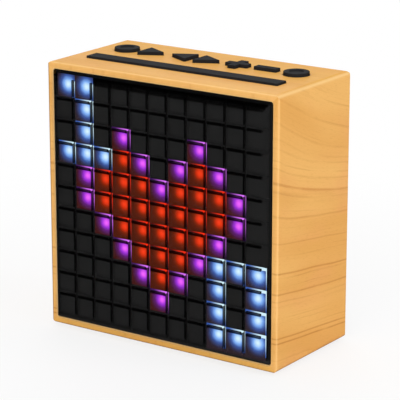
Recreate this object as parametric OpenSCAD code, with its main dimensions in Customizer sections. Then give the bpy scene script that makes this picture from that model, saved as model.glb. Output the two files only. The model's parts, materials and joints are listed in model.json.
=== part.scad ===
// Speaker alarm clock: a square wood-finish sleeve with a raised pixel screen,
// rubber keys on top and a loudspeaker behind the rear cover.
// Millimetres, +Z up, the screen faces -Y, the origin is under the middle of the feet.

/* [Sleeve] */
// Width of the sleeve
body_w = 98; // [90:0.5:130]
// Height of the sleeve
body_h = 98; // [94:0.5:130]
// Depth of the sleeve, from the front rim to the back rim
body_d = 46.4; // [45:0.2:70]
// Thickness of the sleeve's wall
sleeve_wall = 2.6; // [2:0.1:4]
// Radius of the four long outside corners
sleeve_corner_r = 2.2; // [2:0.1:6]
// Radius of the outside edge round each rim
rim_edge_r = 1.0; // [0.4:0.1:1.9]
// Corner radius of the two openings
opening_r = 0.9; // [0.5:0.1:2]
// Chamfer on the inside edge of each rim
rim_chamfer = 0.4; // [0.1:0.1:0.8]
// Play between the sleeve and what slides into it
sleeve_gap = 0.2; // [0.1:0.05:0.4]

/* [Screen] */
// Pixels along each side of the screen
pixel_count = 11; // [8:1:12]
// How far the face of the screen stands in front of the rim
screen_proud = 2.0; // [1:0.1:3]
// Thickness of the screen behind its face
screen_wall = 2.0; // [1.6:0.1:2.4]
// Depth of the screen's flange inside the rim
screen_flange = 1.6; // [1:0.1:3]
// Width of the upright grooves between the pixels
groove_w = 0.7; // [0.5:0.1:1.4]
// Width of the level grooves between the pixels
level_groove_w = 0.9; // [0.4:0.1:1.2]
// Depth of the grooves between the pixels
groove_depth = 0.9; // [0.4:0.1:1.1]
// Bare face left at each end of a groove
groove_pause = 0.75; // [0.3:0.05:1.5]

/* [Pixel stack] */
// Play round the plates behind the screen
stack_gap = 0.16; // [0.1:0.02:0.4]
// Thickness of the ribs of the mask behind the screen
mask_rib = 0.5; // [0.4:0.1:1.5]
// Depth of the mask
mask_depth = 1.4; // [1:0.1:3]
// Thickness of the smoked sheet behind the mask
diffuser_t = 0.5; // [0.3:0.1:1]
// Thickness of the ribs of the reflector
reflector_rib = 0.6; // [0.4:0.1:1.2]
// Depth of the reflector
reflector_depth = 4.5; // [3:0.1:6]
// Side of one light
light_side = 3.5; // [2:0.1:5]
// Height of one light
light_h = 1.2; // [0.8:0.1:2]
// Diameter of the well in a light
light_well_d = 2.8; // [1.5:0.1:4]
// Thickness of every circuit board
board_t = 1.2; // [0.8:0.1:1.6]

/* [Chassis] */
// Thickness of the chassis wall
chassis_wall = 1.6; // [1.2:0.1:2.4]
// Thickness of the plate behind the pixel board
plate_t = 2.0; // [1.5:0.1:3]
// Diameter of the posts that take the cover screws
cover_post_d = 7; // [6:0.5:9]
// Length of those posts
cover_post_l = 5; // [4.5:0.1:5.5]
// Middle of a cover post from the chassis wall
cover_post_inset = 5; // [4.5:0.1:7]
// Width of the rails under the key board
rail_w = 4; // [3.5:0.5:6]
// Thickness of those rails
rail_t = 3.5; // [3:0.5:6]
// Diameter of the posts that take the sleeve screws
sleeve_post_d = 6; // [5:0.5:8]
// Height of those posts
sleeve_post_h = 6; // [5:0.5:8]
// Middle of a sleeve screw from the chassis wall
sleeve_screw_inset = 4.6; // [4:0.1:6]
// Middle of a sleeve screw in front of the rear cover
sleeve_screw_back = 9; // [8.5:0.5:10]
// Room that a screw's bore has beyond the screw's end
bore_room = 0.5; // [0.3:0.1:0.8]
// Room round the keys in the window of the chassis ceiling
key_window_room = 0.5; // [0.3:0.1:1]

/* [Keys] */
// Middle of the outermost small key from the side of the sleeve
key_side_inset = 12.7; // [12:0.1:13]
// Row of small keys behind the middle of the sleeve
key_row_back = 7.6; // [6:0.2:9]
// How far the small keys stand above the sleeve
key_proud = 1.2; // [1:0.1:2]
// Diameter of the two round keys
round_key_d = 9.2; // [7:0.1:9.6]
// Diameter of the sunk disc in a round key
dish_d = 5.4; // [4:0.1:7]
// Depth of that disc below the key's rim
dish_depth = 0.4; // [0.2:0.05:0.8]
// Width of the slope between the rim and the disc
dish_slope = 0.35; // [0.1:0.05:0.8]
// Length of a triangle key from base to tip
arrow_l = 8.9; // [7:0.1:10]
// Width of a triangle key across its base
arrow_w = 9.4; // [8:0.1:10]
// Length of the plus and minus keys
sign_l = 9.2; // [8:0.1:9.6]
// Width of an arm of the plus and minus keys
sign_w = 3.2; // [2.4:0.1:4]
// End of the long bar from the side of the sleeve
bar_side_inset = 8.5; // [8.3:0.1:14]
// Width of the long bar
bar_w = 6; // [5:0.1:7]
// Middle of the long bar in front of the middle of the sleeve
bar_front = 8.4; // [8:0.2:10]
// How far the long bar stands above the sleeve
bar_proud = 0.8; // [0.8:0.1:1.6]
// Corner radius of the shaped keys in plan
key_corner_r = 0.3; // [0.25:0.05:1]
// Rounding of the top edge of a key
key_edge = 0.18; // [0.1:0.02:0.22]
// Play between a key and its opening
key_gap = 0.25; // [0.2:0.05:0.3]
// Thickness of the flange that holds a key in
key_flange_t = 1.0; // [0.8:0.1:1.4]
// How far that flange reaches beyond the key
key_flange_reach = 0.8; // [0.6:0.1:0.9]
// Play between the flange and the sleeve
key_flange_gap = 0.2; // [0.15:0.05:0.4]
// How far a key travels when it is pressed
key_travel = 0.5; // [0.3:0.05:0.6]

/* [Switches] */
// Side of a switch body
switch_side = 6; // [5:0.1:6.4]
// Height of a switch body
switch_h = 3.5; // [3:0.1:4.2]
// Diameter of a switch plunger
plunger_d = 3.2; // [2.5:0.1:3.6]
// How far the plunger stands above its body at rest
plunger_proud = 0.9; // [0.8:0.1:1.2]
// Length of the plunger inside its body
plunger_sunk = 0.8; // [0.6:0.1:1]
// Play round the plunger
plunger_gap = 0.12; // [0.1:0.02:0.2]
// Room under a plunger that is pressed right down
plunger_room = 0.3; // [0.2:0.1:0.5]
// Play between the key board and the plate in front of it
key_board_gap = 0.5; // [0.3:0.1:0.8]
// Play between the key board and the chassis walls
key_board_side = 1; // [0.4:0.1:1.5]
// Board left behind the round keys
key_board_edge = 2; // [1.5:0.1:3]
// Middle of a key board screw from the board's front or back edge
key_screw_inset = 3; // [2.5:0.1:3.5]

/* [Rear cover] */
// Thickness of the rear cover
cover_t = 2.4; // [2.2:0.1:3.5]
// How far the cover lies inside the back rim
cover_recess = 0.4; // [0.2:0.1:0.8]
// Bevel round the outside edge of the cover
cover_bevel = 0.6; // [0.2:0.1:0.8]
// Diameter of the grille
grille_d = 50; // [44:0.5:52]
// Thickness of the grille
grille_t = 1.0; // [0.6:0.1:1.1]
// Width of the step that carries the grille
grille_step = 2; // [1.5:0.1:3]
// Diameter of a hole in the grille
grille_hole_d = 2.0; // [1.2:0.1:2.2]
// Distance from one hole in the grille to the next
grille_hole_pitch = 2.9; // [2.7:0.1:4]
// Play round the grille
grille_gap = 0.1; // [0.05:0.05:0.3]
// Plain rim of the grille outside its holes
grille_rim = 1; // [0.6:0.1:2]
// Depth that the heads of the cover screws lie under the cover's face
head_sunk = 0.1; // [0.05:0.05:0.3]
// Recess round the charging socket, beyond the socket on each side
port_recess_side = 1.8; // [1.2:0.1:2.5]
// Thickness of the cover that is left in that recess
port_recess_floor = 1.4; // [1:0.1:1.8]
// Corner radius of that recess
port_recess_r = 1.6; // [1:0.1:2]
// Corner radius of the slot in its floor
port_slot_r = 0.8; // [0.5:0.1:1.2]

/* [Loudspeaker] */
// Height of the loudspeaker above the middle of the sleeve
speaker_up = 2; // [0:0.5:4]
// Width of the loudspeaker's rim outside the grille's bore
basket_rim_w = 7; // [6.5:0.1:8]
// Thickness of that rim
basket_rim_t = 1.5; // [1.2:0.1:2]
// Thickness of the gasket in front of the rim
gasket_t = 0.8; // [0.5:0.1:1.5]
// Depth of the basket behind its rim
basket_depth = 10; // [9:0.5:11]
// Thickness of the basket's sheet
basket_sheet = 1.0; // [0.8:0.1:1.4]
// How far the rim reaches inside the grille's bore
basket_lip = 1; // [0.5:0.1:2]
// Windows in the basket
basket_windows = 6; // [4:1:8]
// Width of a window in the basket
basket_window_w = 9; // [6:0.5:10]
// Metal left round each window
basket_window_edge = 1; // [0.6:0.1:2]
// Depth of a loudspeaker screw in the cover
speaker_screw_bite = 1.4; // [1:0.1:1.6]
// Depth of the cone
cone_depth = 6.5; // [5:0.1:7]
// Diameter of the cone at its rim
cone_d = 36; // [33:0.5:37]
// Diameter of the voice coil
coil_d = 13; // [11:0.5:15]
// Thickness of the cone's paper
cone_t = 0.6; // [0.4:0.1:0.8]
// Thickness of the rubber roll
roll_t = 0.5; // [0.3:0.1:0.8]
// Play between the roll and the basket
roll_gap = 0.1; // [0.05:0.05:0.3]
// Rise of the dust cap
cap_rise = 2.2; // [1.6:0.1:3]
// Thickness of the dust cap
cap_t = 0.4; // [0.3:0.1:0.6]
// How far the dust cap laps over the cone
cap_lap = 1.5; // [1:0.1:2.5]
// Play between the dust cap and the cone
cap_gap = 0.05; // [0.03:0.01:0.1]
// Thickness of the spider's cloth
spider_t = 0.5; // [0.3:0.1:0.8]
// Height of the waves in the spider
spider_wave = 0.7; // [0.4:0.1:1]
// Waves across the spider
spider_waves = 3; // [2:1:4]
// Play between the spider and the basket's wall
spider_edge = 0.6; // [0.4:0.1:1]
// Thickness of the voice coil and its former
coil_t = 0.6; // [0.4:0.1:0.8]
// Distance from the middle of the coil's wall to the iron beside it
iron_gap = 0.8; // [0.6:0.1:1.2]
// Distance from the middle of the coil's wall to the magnet
magnet_room = 2; // [1.5:0.1:3]
// Diameter of the magnet
magnet_d = 30; // [27:0.5:32]
// Thickness of the magnet
magnet_t = 5; // [4:0.5:7]
// Thickness of each steel plate of the magnet
magnet_plate_t = 1.6; // [1.2:0.1:2]

/* [Power] */
// Diameter of the battery cell
cell_d = 18.4; // [16:0.1:18.8]
// Length of the battery cell
cell_l = 65; // [55:0.5:65]
// Thickness of the cradle round the cell
cradle_t = 1.6; // [1.2:0.1:2.4]
// Play round the cell in its cradle
cell_gap = 0.15; // [0.1:0.05:0.3]
// Thickness of the tabs at the ends of the cell
tab_t = 0.3; // [0.2:0.05:0.5]
// Side of those tabs
tab_side = 7; // [5:0.5:9]
// How far the tabs sit below the middle of the cell
tab_drop = 1; // [0:0.1:2]
// Thickness of the cradle beside the cell
cradle_side = 0.6; // [0.5:0.1:0.8]
// Room between the cell and the plate in front of it
cell_room = 1.6; // [1.2:0.1:1.8]
// Diameter of the raised contact of the cell
contact_d = 6; // [4:0.5:8]
// Height of that contact
contact_h = 1; // [0.6:0.1:1.4]
// Step at the ends of the cell's wrap
cell_step = 0.6; // [0.3:0.1:1]
// Width of the charging socket
socket_w = 7.5; // [7:0.1:8]
// Height of the charging socket
socket_h = 2.7; // [2.5:0.1:3]
// Length of the charging socket
socket_l = 5.6; // [5:0.1:6.5]
// Thickness of the socket's sheet
socket_sheet = 0.3; // [0.25:0.05:0.4]
// Play round the socket in the cover
socket_gap = 0.3; // [0.2:0.05:0.5]
// Width of the cut at each lower corner of the socket
socket_cut_w = 1.1; // [0.8:0.1:1.4]
// Height of that cut
socket_cut_h = 1.2; // [0.9:0.1:1.5]
// Play between the socket's shell and its core
socket_core_gap = 0.02; // [0.01:0.01:0.05]
// Depth of the core at the back of the socket
socket_core_depth = 1.6; // [1.2:0.1:2]
// Width of the socket's tongue
tongue_w = 4.2; // [3.5:0.1:4.6]
// Thickness of that tongue
tongue_t = 0.6; // [0.4:0.1:0.7]
// Middle of the tongue below the top of the socket
tongue_down = 1.0; // [0.8:0.05:1.2]
// Mouth of the socket behind the tongue's end
tongue_set = 0.6; // [0.4:0.1:1]
// How far the socket reaches into the cover
socket_reach = 1; // [0.6:0.1:1.2]
// Height of the board that carries the socket above the chassis floor
port_board_up = 5; // [4:0.5:7]
// Width of that board
port_board_w = 24; // [20:1:30]
// Room between that board and the battery's cradle
port_cell_room = 1; // [0.6:0.1:2]
// Middle of a screw in that board from its edges
port_hole_inset = 3; // [2.6:0.1:4]
// Play between that board and the rear cover
port_board_gap = 0.2; // [0.1:0.05:0.4]

/* [Main board] */
// Width of the main board
main_board_w = 76; // [70:1:80]
// Height of the main board
main_board_h = 44; // [40:1:46]
// Height of the main board above the middle of the sleeve
main_board_up = 10; // [8:0.5:11]
// Length of the posts behind the main board
standoff_l = 3; // [2.5:0.1:3.5]
// Diameter of those posts
standoff_d = 5; // [4.5:0.1:6]
// Corner radius of the main board
main_board_r = 1; // [0.5:0.1:3]
// Middle of a corner hole from the main board's edges
main_hole_inset = 3.5; // [2.8:0.1:5]
// Side of the processor
processor_side = 9; // [7:0.5:10]
// Processor from the left and top edges of the board
processor_at = [14, 16]; // [12:0.5:20]
// Side of the amplifier
amplifier_side = 6.5; // [5:0.5:8]
// Amplifier from the right and bottom edges of the board
amplifier_at = [16, 14]; // [12:0.5:18]
// Height of these two chips
chip_h = 1.2; // [0.8:0.1:2]
// Diameter of a capacitor
capacitor_d = 6.3; // [5:0.1:6.5]
// Height of a capacitor
capacitor_h = 5.4; // [4:0.1:6]
// Distance from one capacitor to the next
capacitor_pitch = 8; // [7:0.5:9]
// First capacitor from the right and top edges of the board
capacitor_at = [7, 18]; // [5:0.5:20]
// Length of a small resistor
resistor_l = 1.6; // [1:0.1:2]
// Width and height of a small resistor
resistor_w = 0.8; // [0.5:0.1:1.2]
// Resistors in their row
resistor_count = 6; // [2:1:8]
// Distance from one resistor to the next
resistor_pitch = 4; // [3:0.5:4.5]
// First resistor from the left and bottom edges of the board
resistor_at = [8, 10]; // [6:0.5:12]
// Width of a plug
plug_w = 6; // [5:0.5:8]
// Height of a plug
plug_h = 4; // [3:0.5:5]
// Depth of a plug
plug_depth = 4; // [3:0.5:5]
// Distance from one plug to the other
plug_pitch = 20; // [12:1:28]
// Middle of the plugs from the bottom edge of the board
plug_up = 4; // [3:0.5:5]
// Width of the shield can
can_w = 14; // [10:0.5:16]
// Height of the shield can
can_h = 12; // [8:0.5:14]
// Depth of the shield can
can_depth = 2.2; // [1.6:0.1:3]
// Thickness of its sheet
can_t = 0.3; // [0.2:0.05:0.5]
// Corner radius of the shield can
can_r = 0.6; // [0.4:0.1:1]
// Shield can from the left and top edges of the board
can_at = [30, 10]; // [8:0.5:34]

/* [Feet and screws] */
// How far the feet stand below the sleeve
foot_h = 0.8; // [0.5:0.1:2]
// Depth of the recess that holds a foot
foot_recess = 0.6; // [0.4:0.1:1]
// End of a foot from the side of the sleeve
foot_side_inset = 14; // [13:0.5:25]
// Width of a foot
foot_w = 6; // [4:0.5:8]
// Middle of a foot from the nearest rim
foot_inset = 7; // [6:0.5:9]
// Diameter of the shank of the larger screws
screw_d = 2.5; // [2.2:0.1:3]
// Diameter of the head of the larger screws
screw_head_d = 4.8; // [4.4:0.1:5.2]
// Height of the head of the larger screws
screw_head_h = 1.1; // [0.9:0.1:1.2]
// Diameter of the shank of the small screws
small_screw_d = 1.7; // [1.5:0.1:2]
// Diameter of the head of the small screws
small_head_d = 3.2; // [2.8:0.1:3.4]
// Height of the head of the small screws
small_head_h = 0.9; // [0.7:0.1:1.1]
// Play round every screw
screw_gap = 0.06; // [0.04:0.02:0.12]
// Play round a screw that passes through a plate
pass_gap = 0.12; // [0.08:0.02:0.2]
// Play round a foot in its recess
foot_gap = 0.06; // [0.04:0.02:0.2]
// Length of a screw's cross as a share of its head
cross_share = 0.55; // [0.4:0.05:0.7]
// Width of a screw's cross as a share of its head
cross_slim = 0.16; // [0.1:0.02:0.2]
// Metal left under a screw's cross as a share of its head
cross_floor = 0.4; // [0.3:0.05:0.6]

/* [Hidden] */
$fn = 48;
// Overlap that keeps cuts clean
cut = 1;
// Thickness of a slice that a rounded key is stretched over
slice = 0.01;
// How far a straight edge lies inside its corner circles, so that they cross and don't just touch
corner_ease = 0.0005;

// Levels
base_z = foot_h;
mid_z = base_z + body_h / 2;
top_z = base_z + body_h;
rim_y = (screen_proud - body_d) / 2;
back_y = rim_y + body_d;
mid_y = rim_y + body_d / 2;

// The opening and what slides into it
open_w = body_w - 2 * sleeve_wall;
open_h = body_h - 2 * sleeve_wall;
slide_w = open_w - 2 * sleeve_gap;
slide_h = open_h - 2 * sleeve_gap;
inner_w = slide_w - 2 * chassis_wall;
inner_h = slide_h - 2 * chassis_wall;
floor_z = mid_z - inner_h / 2;
ceiling_z = mid_z + inner_h / 2;

// The pixel field
field_w = inner_w - 2 * stack_gap;
field_h = inner_h - 2 * stack_gap;
pitch_x = field_w / pixel_count;
pitch_z = field_h / pixel_count;
last_pixel = pixel_count - 1;

// Places along the depth, from the screen to the cover
face_y = rim_y - screen_proud;
mask_y = face_y + screen_wall;
diffuser_y = mask_y + mask_depth;
reflector_y = diffuser_y + diffuser_t;
pixel_board_y = reflector_y + reflector_depth;
plate_y = pixel_board_y + board_t;
plate_back_y = plate_y + plate_t;
chassis_y = rim_y + screen_flange;
cover_back_y = back_y - cover_recess;
cover_y = cover_back_y - cover_t;

// Keys and switches, from the sleeve down
key_row_y = mid_y + key_row_back;
bar_y = mid_y - bar_front;
flange_top_z = top_z - sleeve_wall - key_flange_gap;
flange_z = flange_top_z - key_flange_t;
switch_top_z = flange_z - plunger_proud;
key_board_z = switch_top_z - switch_h - board_t;
side_keys = 3;
key_pitch = (body_w / 2 - key_side_inset) / side_keys;
key_x = [for (i = [-side_keys : side_keys]) i * key_pitch];
bar_l = body_w - 2 * bar_side_inset;
bar_switch_x = 2 * key_pitch;
key_board_front = plate_back_y + key_board_gap;
key_board_back = key_row_y + round_key_d / 2 + key_board_edge;
key_board_w = inner_w - 2 * key_board_side;
key_screw_x = inner_w / 2 - rail_w / 2;
key_screw_y = [key_board_front + key_screw_inset, key_board_back - key_screw_inset];

// Cover posts and their screws
cover_screw_l = cover_t - screw_head_h - head_sunk + cover_post_l - bore_room;
post_x = inner_w / 2 - cover_post_inset;
post_z = inner_h / 2 - cover_post_inset;

// Loudspeaker, as depths in front of the cover's inner face
speaker_z = mid_z + speaker_up;
grille_bore_d = grille_d - 2 * grille_step;
basket_d = grille_bore_d + 2 * basket_rim_w;
rim_depth = gasket_t + basket_rim_t;
basket_end = rim_depth + basket_depth;
magnet_depth = basket_end + magnet_plate_t;
yoke_depth = magnet_depth + magnet_t;
cone_start = rim_depth;
cone_end = cone_start + cone_depth;
basket_inner_r = grille_bore_d / 2 - basket_lip;
speaker_screw_r = (grille_d / 2 + grille_gap + basket_d / 2) / 2;
speaker_screw_l = rim_depth + speaker_screw_bite;

// Battery
cell_y = plate_back_y + cell_room + cell_d / 2;
cell_z = floor_z + cradle_t + cell_gap + cell_d / 2;
cradle_l = cell_l + 2 * (tab_t + cradle_t);
cradle_w = cell_d + 2 * (cell_gap + cradle_side);

// Charging socket
port_board_z = floor_z + port_board_up;
port_board_y = cell_y + cradle_w / 2 + port_cell_room;
port_board_l = cover_y - port_board_gap - port_board_y;
port_post_x = port_board_w / 2 - port_hole_inset;
port_post_y = port_board_y + port_hole_inset;
socket_z = port_board_z + board_t;
socket_mouth_y = cover_y + socket_reach;
socket_back_y = socket_mouth_y - socket_l;

// Sleeve screws and feet
sleeve_screw_x = inner_w / 2 - sleeve_screw_inset;
sleeve_screw_y = cover_y - sleeve_screw_back;
sleeve_screw_l = sleeve_wall + sleeve_gap + chassis_wall + sleeve_post_h - screw_head_h - bore_room;
foot_l = body_w - 2 * foot_side_inset;

// Main board
main_board_y = plate_back_y + standoff_l;
main_board_z = mid_z + main_board_up;
chips_y = main_board_y + board_t;
main_hole_x = main_board_w / 2 - main_hole_inset;
main_hole_z = main_board_h / 2 - main_hole_inset;

// Plain shapes

// Rectangle with round corners, about the origin
module rounded_rect(w, h, r) {
    square([w - 2 * r, h], center = true);
    square([w, h - 2 * r], center = true);
    for (x = [-1, 1], y = [-1, 1])
        translate([x * (w / 2 - r), y * (h / 2 - r)]) circle(r);
}

// Upright outline, drawn in X and Z, stretched from y0 to y1
module along_y(y0, y1) {
    translate([0, y1, 0]) rotate([90, 0, 0]) linear_extrude(y1 - y0) children();
}

// Profile of radius and depth, turned about the loudspeaker's axis
module speaker_turn() {
    translate([0, cover_y, speaker_z]) rotate([90, 0, 0]) rotate_extrude($fn = 96) children();
}

// Box given by its corner and its size in X, Y and Z
module block(x, y, z, size) {
    translate([x, y, z]) cube(size);
}

// Slab of depth d with round corners of radius r and round rims of radius e
module soft_slab(w, h, d, r, e) {
    intersection() {
        along_y(0, d) rounded_rect(w, h, r);
        translate([-w / 2, d / 2, 0]) rotate([90, 0, 90]) linear_extrude(w) rounded_rect(d, h, e);
        translate([0, d / 2, -h / 2]) linear_extrude(h) rounded_rect(w, d, e);
    }
}

// Chamfer c round an opening w by h with corner radius r, widest at y = 0
module lip_cut(w, h, r, c) {
    across = [[-c, w / 2 + 2 * c], [c, w / 2], [c, -w / 2], [-c, -w / 2 - 2 * c]];
    upright = [[-c, h / 2 + 2 * c], [c, h / 2], [c, -h / 2], [-c, -h / 2 - 2 * c]];
    translate([0, 0, r - h / 2]) linear_extrude(h - 2 * r)
        polygon([for (p = across) [p.y, p.x]]);
    rotate([90, 0, 90]) translate([0, 0, r - w / 2]) linear_extrude(w - 2 * r) polygon(upright);
    for (x = [-1, 1], z = [-1, 1])
        translate([x * (w / 2 - r), -c, z * (h / 2 - r)]) rotate([-90, 0, 0])
            cylinder(r1 = r + 2 * c, r2 = r, h = 2 * c);
}

// Screw along Z with its head on top of z = 0 and a cross in the head
module screw(d, l, head_d, head_h) {
    cross_l = head_d * cross_share;
    cross_w = head_d * cross_slim;
    translate([0, 0, -l]) cylinder(d = d, h = l);
    difference() {
        cylinder(d = head_d, h = head_h);
        for (a = [0, 90]) rotate(a)
            translate([-cross_l / 2, -cross_w / 2, head_h * cross_floor])
                cube([cross_l, cross_w, head_h]);
    }
}

// Places of the four corners at x and y from the middle
module four(x, y) {
    for (i = [-1, 1], k = [-1, 1]) translate([i * x, k * y]) children();
}

// Pixel grid with ribs of a given thickness, in X and Z
module pixel_grid(rib) {
    difference() {
        square([field_w, field_h], center = true);
        at_pixels() square([pitch_x - rib, pitch_z - rib], center = true);
    }
}

// Children at the middle of every pixel, in X and Z
module at_pixels() {
    for (i = [0 : last_pixel], k = [0 : last_pixel])
        translate([(i - last_pixel / 2) * pitch_x, (k - last_pixel / 2) * pitch_z]) children();
}

// Key plans

// Outward normal of the edge from a to b of an outline that runs counter-clockwise
function edge_normal(a, b) = [b.y - a.y, a.x - b.x] / norm(b - a);

// Outline that runs at distance r outside the corner points c
function swept(c, r) = [for (i = [0 : len(c) - 1])
    let (a = c[i], b = c[(i + 1) % len(c)], n = edge_normal(a, b))
        each [a + r * n, b + r * n]];

// Convex outline with round corners of radius r about the points c
module round_convex(c, r) {
    polygon(swept(c, r - corner_ease));
    for (p = c) translate(p) circle(r);
}

// Corner centres of a rectangle l by w
function bar_core(l, w) = let (x = l / 2 - key_corner_r, y = w / 2 - key_corner_r)
    [[-x, -y], [x, -y], [x, y], [-x, y]];

// Corner centres of a triangle that points to the right
function arrow_core() = let (tip = atan(arrow_w / 2 / arrow_l), base = 90 - tip,
        x = key_corner_r - arrow_l / 2, y = arrow_w / 2 - key_corner_r / tan(base / 2))
    [[x, -y], [arrow_l / 2 - key_corner_r / sin(tip), 0], [x, y]];

// The same triangle turned to the left
function turned(c) = [for (p = c) -p];

// Convex parts of each shaped key
arrow_right = [arrow_core()];
arrow_left = [turned(arrow_core())];
minus_sign = [bar_core(sign_l, sign_w)];
plus_sign = [bar_core(sign_l, sign_w), bar_core(sign_w, sign_l)];
long_bar = [bar_core(bar_l, bar_w)];

// Plan of a shaped key, grown by a clearance
module shaped_plan(parts, grow) {
    for (c = parts) round_convex(c, key_corner_r + grow);
}

// Plans of all eight keys in their places, grown by a clearance
module key_plans(grow) {
    for (i = [0, 6]) translate([key_x[i], key_row_y]) circle(d = round_key_d + 2 * grow);
    translate([key_x[1], key_row_y]) shaped_plan(arrow_right, grow);
    translate([key_x[2], key_row_y]) shaped_plan(arrow_left, grow);
    translate([key_x[3], key_row_y]) shaped_plan(arrow_right, grow);
    translate([key_x[4], key_row_y]) shaped_plan(plus_sign, grow);
    translate([key_x[5], key_row_y]) shaped_plan(minus_sign, grow);
    translate([0, bar_y]) shaped_plan(long_bar, grow);
}

// Places of the small keys' switches and the bar's two
switch_places = [for (x = key_x) [x, key_row_y], for (s = [-1, 1]) [s * bar_switch_x, bar_y]];

// Shaped key with a flange and a rounded top edge
module shaped_key(parts, proud) {
    rise = top_z + proud - flange_z;
    translate([0, 0, flange_z]) {
        linear_extrude(key_flange_t) shaped_plan(parts, key_flange_reach);
        for (c = parts) hull() {
            linear_extrude(rise - key_edge) round_convex(c, key_corner_r, $fn = 24);
            translate([0, 0, rise - key_edge * 0.3 - slice]) linear_extrude(slice)
                round_convex(c, key_corner_r - key_edge * 0.3, $fn = 24);
            translate([0, 0, rise - slice]) linear_extrude(slice)
                round_convex(c, key_corner_r - key_edge, $fn = 24);
        }
    }
}

// Round key with a flange, a rounded top edge and a sunk disc inside its rim
module round_key() {
    rise = top_z + key_proud - flange_z;
    r = round_key_d / 2;
    dish_r = dish_d / 2;
    translate([0, 0, flange_z]) rotate_extrude() {
        square([r + key_flange_reach, key_flange_t]);
        difference() {
            union() {
                square([r, rise - key_edge]);
                square([r - key_edge, rise]);
                translate([r - key_edge, rise - key_edge]) circle(key_edge);
            }
            polygon([[0, rise + cut], [dish_r, rise + cut], [dish_r, rise],
                [dish_r - dish_slope, rise - dish_depth], [0, rise - dish_depth]]);
        }
    }
}

// Plunger of one switch, reaching up to the key above it
module plunger() {
    translate([0, 0, switch_top_z - plunger_sunk])
        cylinder(d = plunger_d, h = plunger_sunk + plunger_proud);
}

// Sleeve

// Wood-finish sleeve with the key openings and the recesses of the feet
module wood_sleeve() {
    color("#E8B26A") difference() {
        translate([0, rim_y, mid_z])
            soft_slab(body_w, body_h, body_d, sleeve_corner_r, rim_edge_r);
        translate([0, 0, mid_z]) along_y(rim_y - cut, back_y + cut)
            rounded_rect(open_w, open_h, opening_r);
        translate([0, rim_y, mid_z]) lip_cut(open_w, open_h, opening_r, rim_chamfer);
        translate([0, back_y, mid_z]) mirror([0, 1, 0])
            lip_cut(open_w, open_h, opening_r, rim_chamfer);
        translate([0, 0, top_z - sleeve_wall - cut]) linear_extrude(sleeve_wall + 2 * cut)
            key_plans(key_gap);
        translate([0, 0, base_z - cut]) linear_extrude(cut + foot_recess) feet_plan(0);
        for (s = [-1, 1]) translate([s * sleeve_screw_x, sleeve_screw_y, base_z - cut]) {
            cylinder(d = screw_d + 2 * pass_gap, h = sleeve_wall + 2 * cut);
            cylinder(d = screw_head_d + 2 * pass_gap, h = cut + screw_head_h);
        }
    }
}

// Plan of the two strips of the feet, with round ends
module feet_plan(shrink) {
    straight = foot_l - foot_w;
    for (y = [rim_y + foot_inset, back_y - foot_inset]) translate([0, y]) {
        square([straight, foot_w - 2 * shrink], center = true);
        for (s = [-1, 1]) translate([s * straight / 2, 0]) circle(d = foot_w - 2 * shrink);
    }
}

// Two rubber strips under the sleeve
module rubber_feet() {
    color("#2B2B2D") linear_extrude(foot_h + foot_recess) feet_plan(foot_gap);
}

// Screws that hold the sleeve to the chassis
module sleeve_screws() {
    color("#8C8F94") for (s = [-1, 1])
        translate([s * sleeve_screw_x, sleeve_screw_y, base_z + screw_head_h]) mirror([0, 0, 1])
            screw(screw_d, sleeve_screw_l, screw_head_d, screw_head_h);
}

// Screen and pixel stack

// Bevel of the screen seen along one side: w at the rim, w minus the bevel at the face
module bevel_profile(w, field, y1) {
    polygon([[-field / 2, face_y], [field / 2, face_y], [w / 2, rim_y], [w / 2, y1],
        [-w / 2, y1], [-w / 2, rim_y]]);
}

// Smoked screen with a bevelled border and grooves between the pixels
module screen() {
    floor_y = face_y + groove_depth;
    dash = pitch_x - groove_w - 2 * groove_pause;
    color("#232325") difference() {
        translate([0, 0, mid_z]) intersection() {
            translate([0, 0, -slide_h / 2]) linear_extrude(slide_h)
                bevel_profile(slide_w, field_w, chassis_y);
            rotate([90, 0, 90]) translate([0, 0, -slide_w / 2]) linear_extrude(slide_w)
                polygon([[face_y, -field_h / 2], [face_y, field_h / 2], [rim_y, slide_h / 2],
                    [chassis_y, slide_h / 2], [chassis_y, -slide_h / 2], [rim_y, -slide_h / 2]]);
            along_y(face_y - cut, chassis_y + cut)
                rounded_rect(slide_w, slide_h, opening_r - sleeve_gap);
        }
        translate([0, 0, mid_z]) along_y(mask_y, chassis_y + cut)
            square([inner_w, inner_h], center = true);
        translate([0, 0, mid_z]) along_y(face_y - cut, floor_y) for (i = [1 : last_pixel]) {
            translate([(i - pixel_count / 2) * pitch_x, 0])
                square([groove_w, field_h - 2 * groove_pause], center = true);
            for (k = [0 : last_pixel])
                translate([(k - last_pixel / 2) * pitch_x, (i - pixel_count / 2) * pitch_z])
                    square([dash, level_groove_w], center = true);
        }
    }
}

// Black mask that parts the pixels
module pixel_mask() {
    color("#161616") translate([0, 0, mid_z]) along_y(mask_y, diffuser_y) pixel_grid(mask_rib);
}

// Smoked sheet that spreads the light of each pixel
module diffuser_sheet() {
    color("#3A3A3F") translate([0, 0, mid_z]) along_y(diffuser_y, reflector_y)
        square([field_w, field_h], center = true);
}

// White reflector with one cell for each light
module pixel_reflector() {
    color("#F4F4F0") translate([0, 0, mid_z]) along_y(reflector_y, pixel_board_y)
        pixel_grid(reflector_rib);
}

// Lights, each a square body with a round well
module pixel_lights() {
    color("#F1EFE6") translate([0, 0, mid_z]) {
        along_y(pixel_board_y - light_h, pixel_board_y - light_h / 2) at_pixels() difference() {
            square(light_side, center = true);
            circle(d = light_well_d, $fn = 24);
        }
        along_y(pixel_board_y - light_h / 2, pixel_board_y) at_pixels()
            square(light_side, center = true);
    }
}

// Board that carries the lights
module pixel_board() {
    color("#1F5B3A") translate([0, 0, mid_z]) along_y(pixel_board_y, plate_y)
        square([field_w, field_h], center = true);
}

// Chassis

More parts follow.
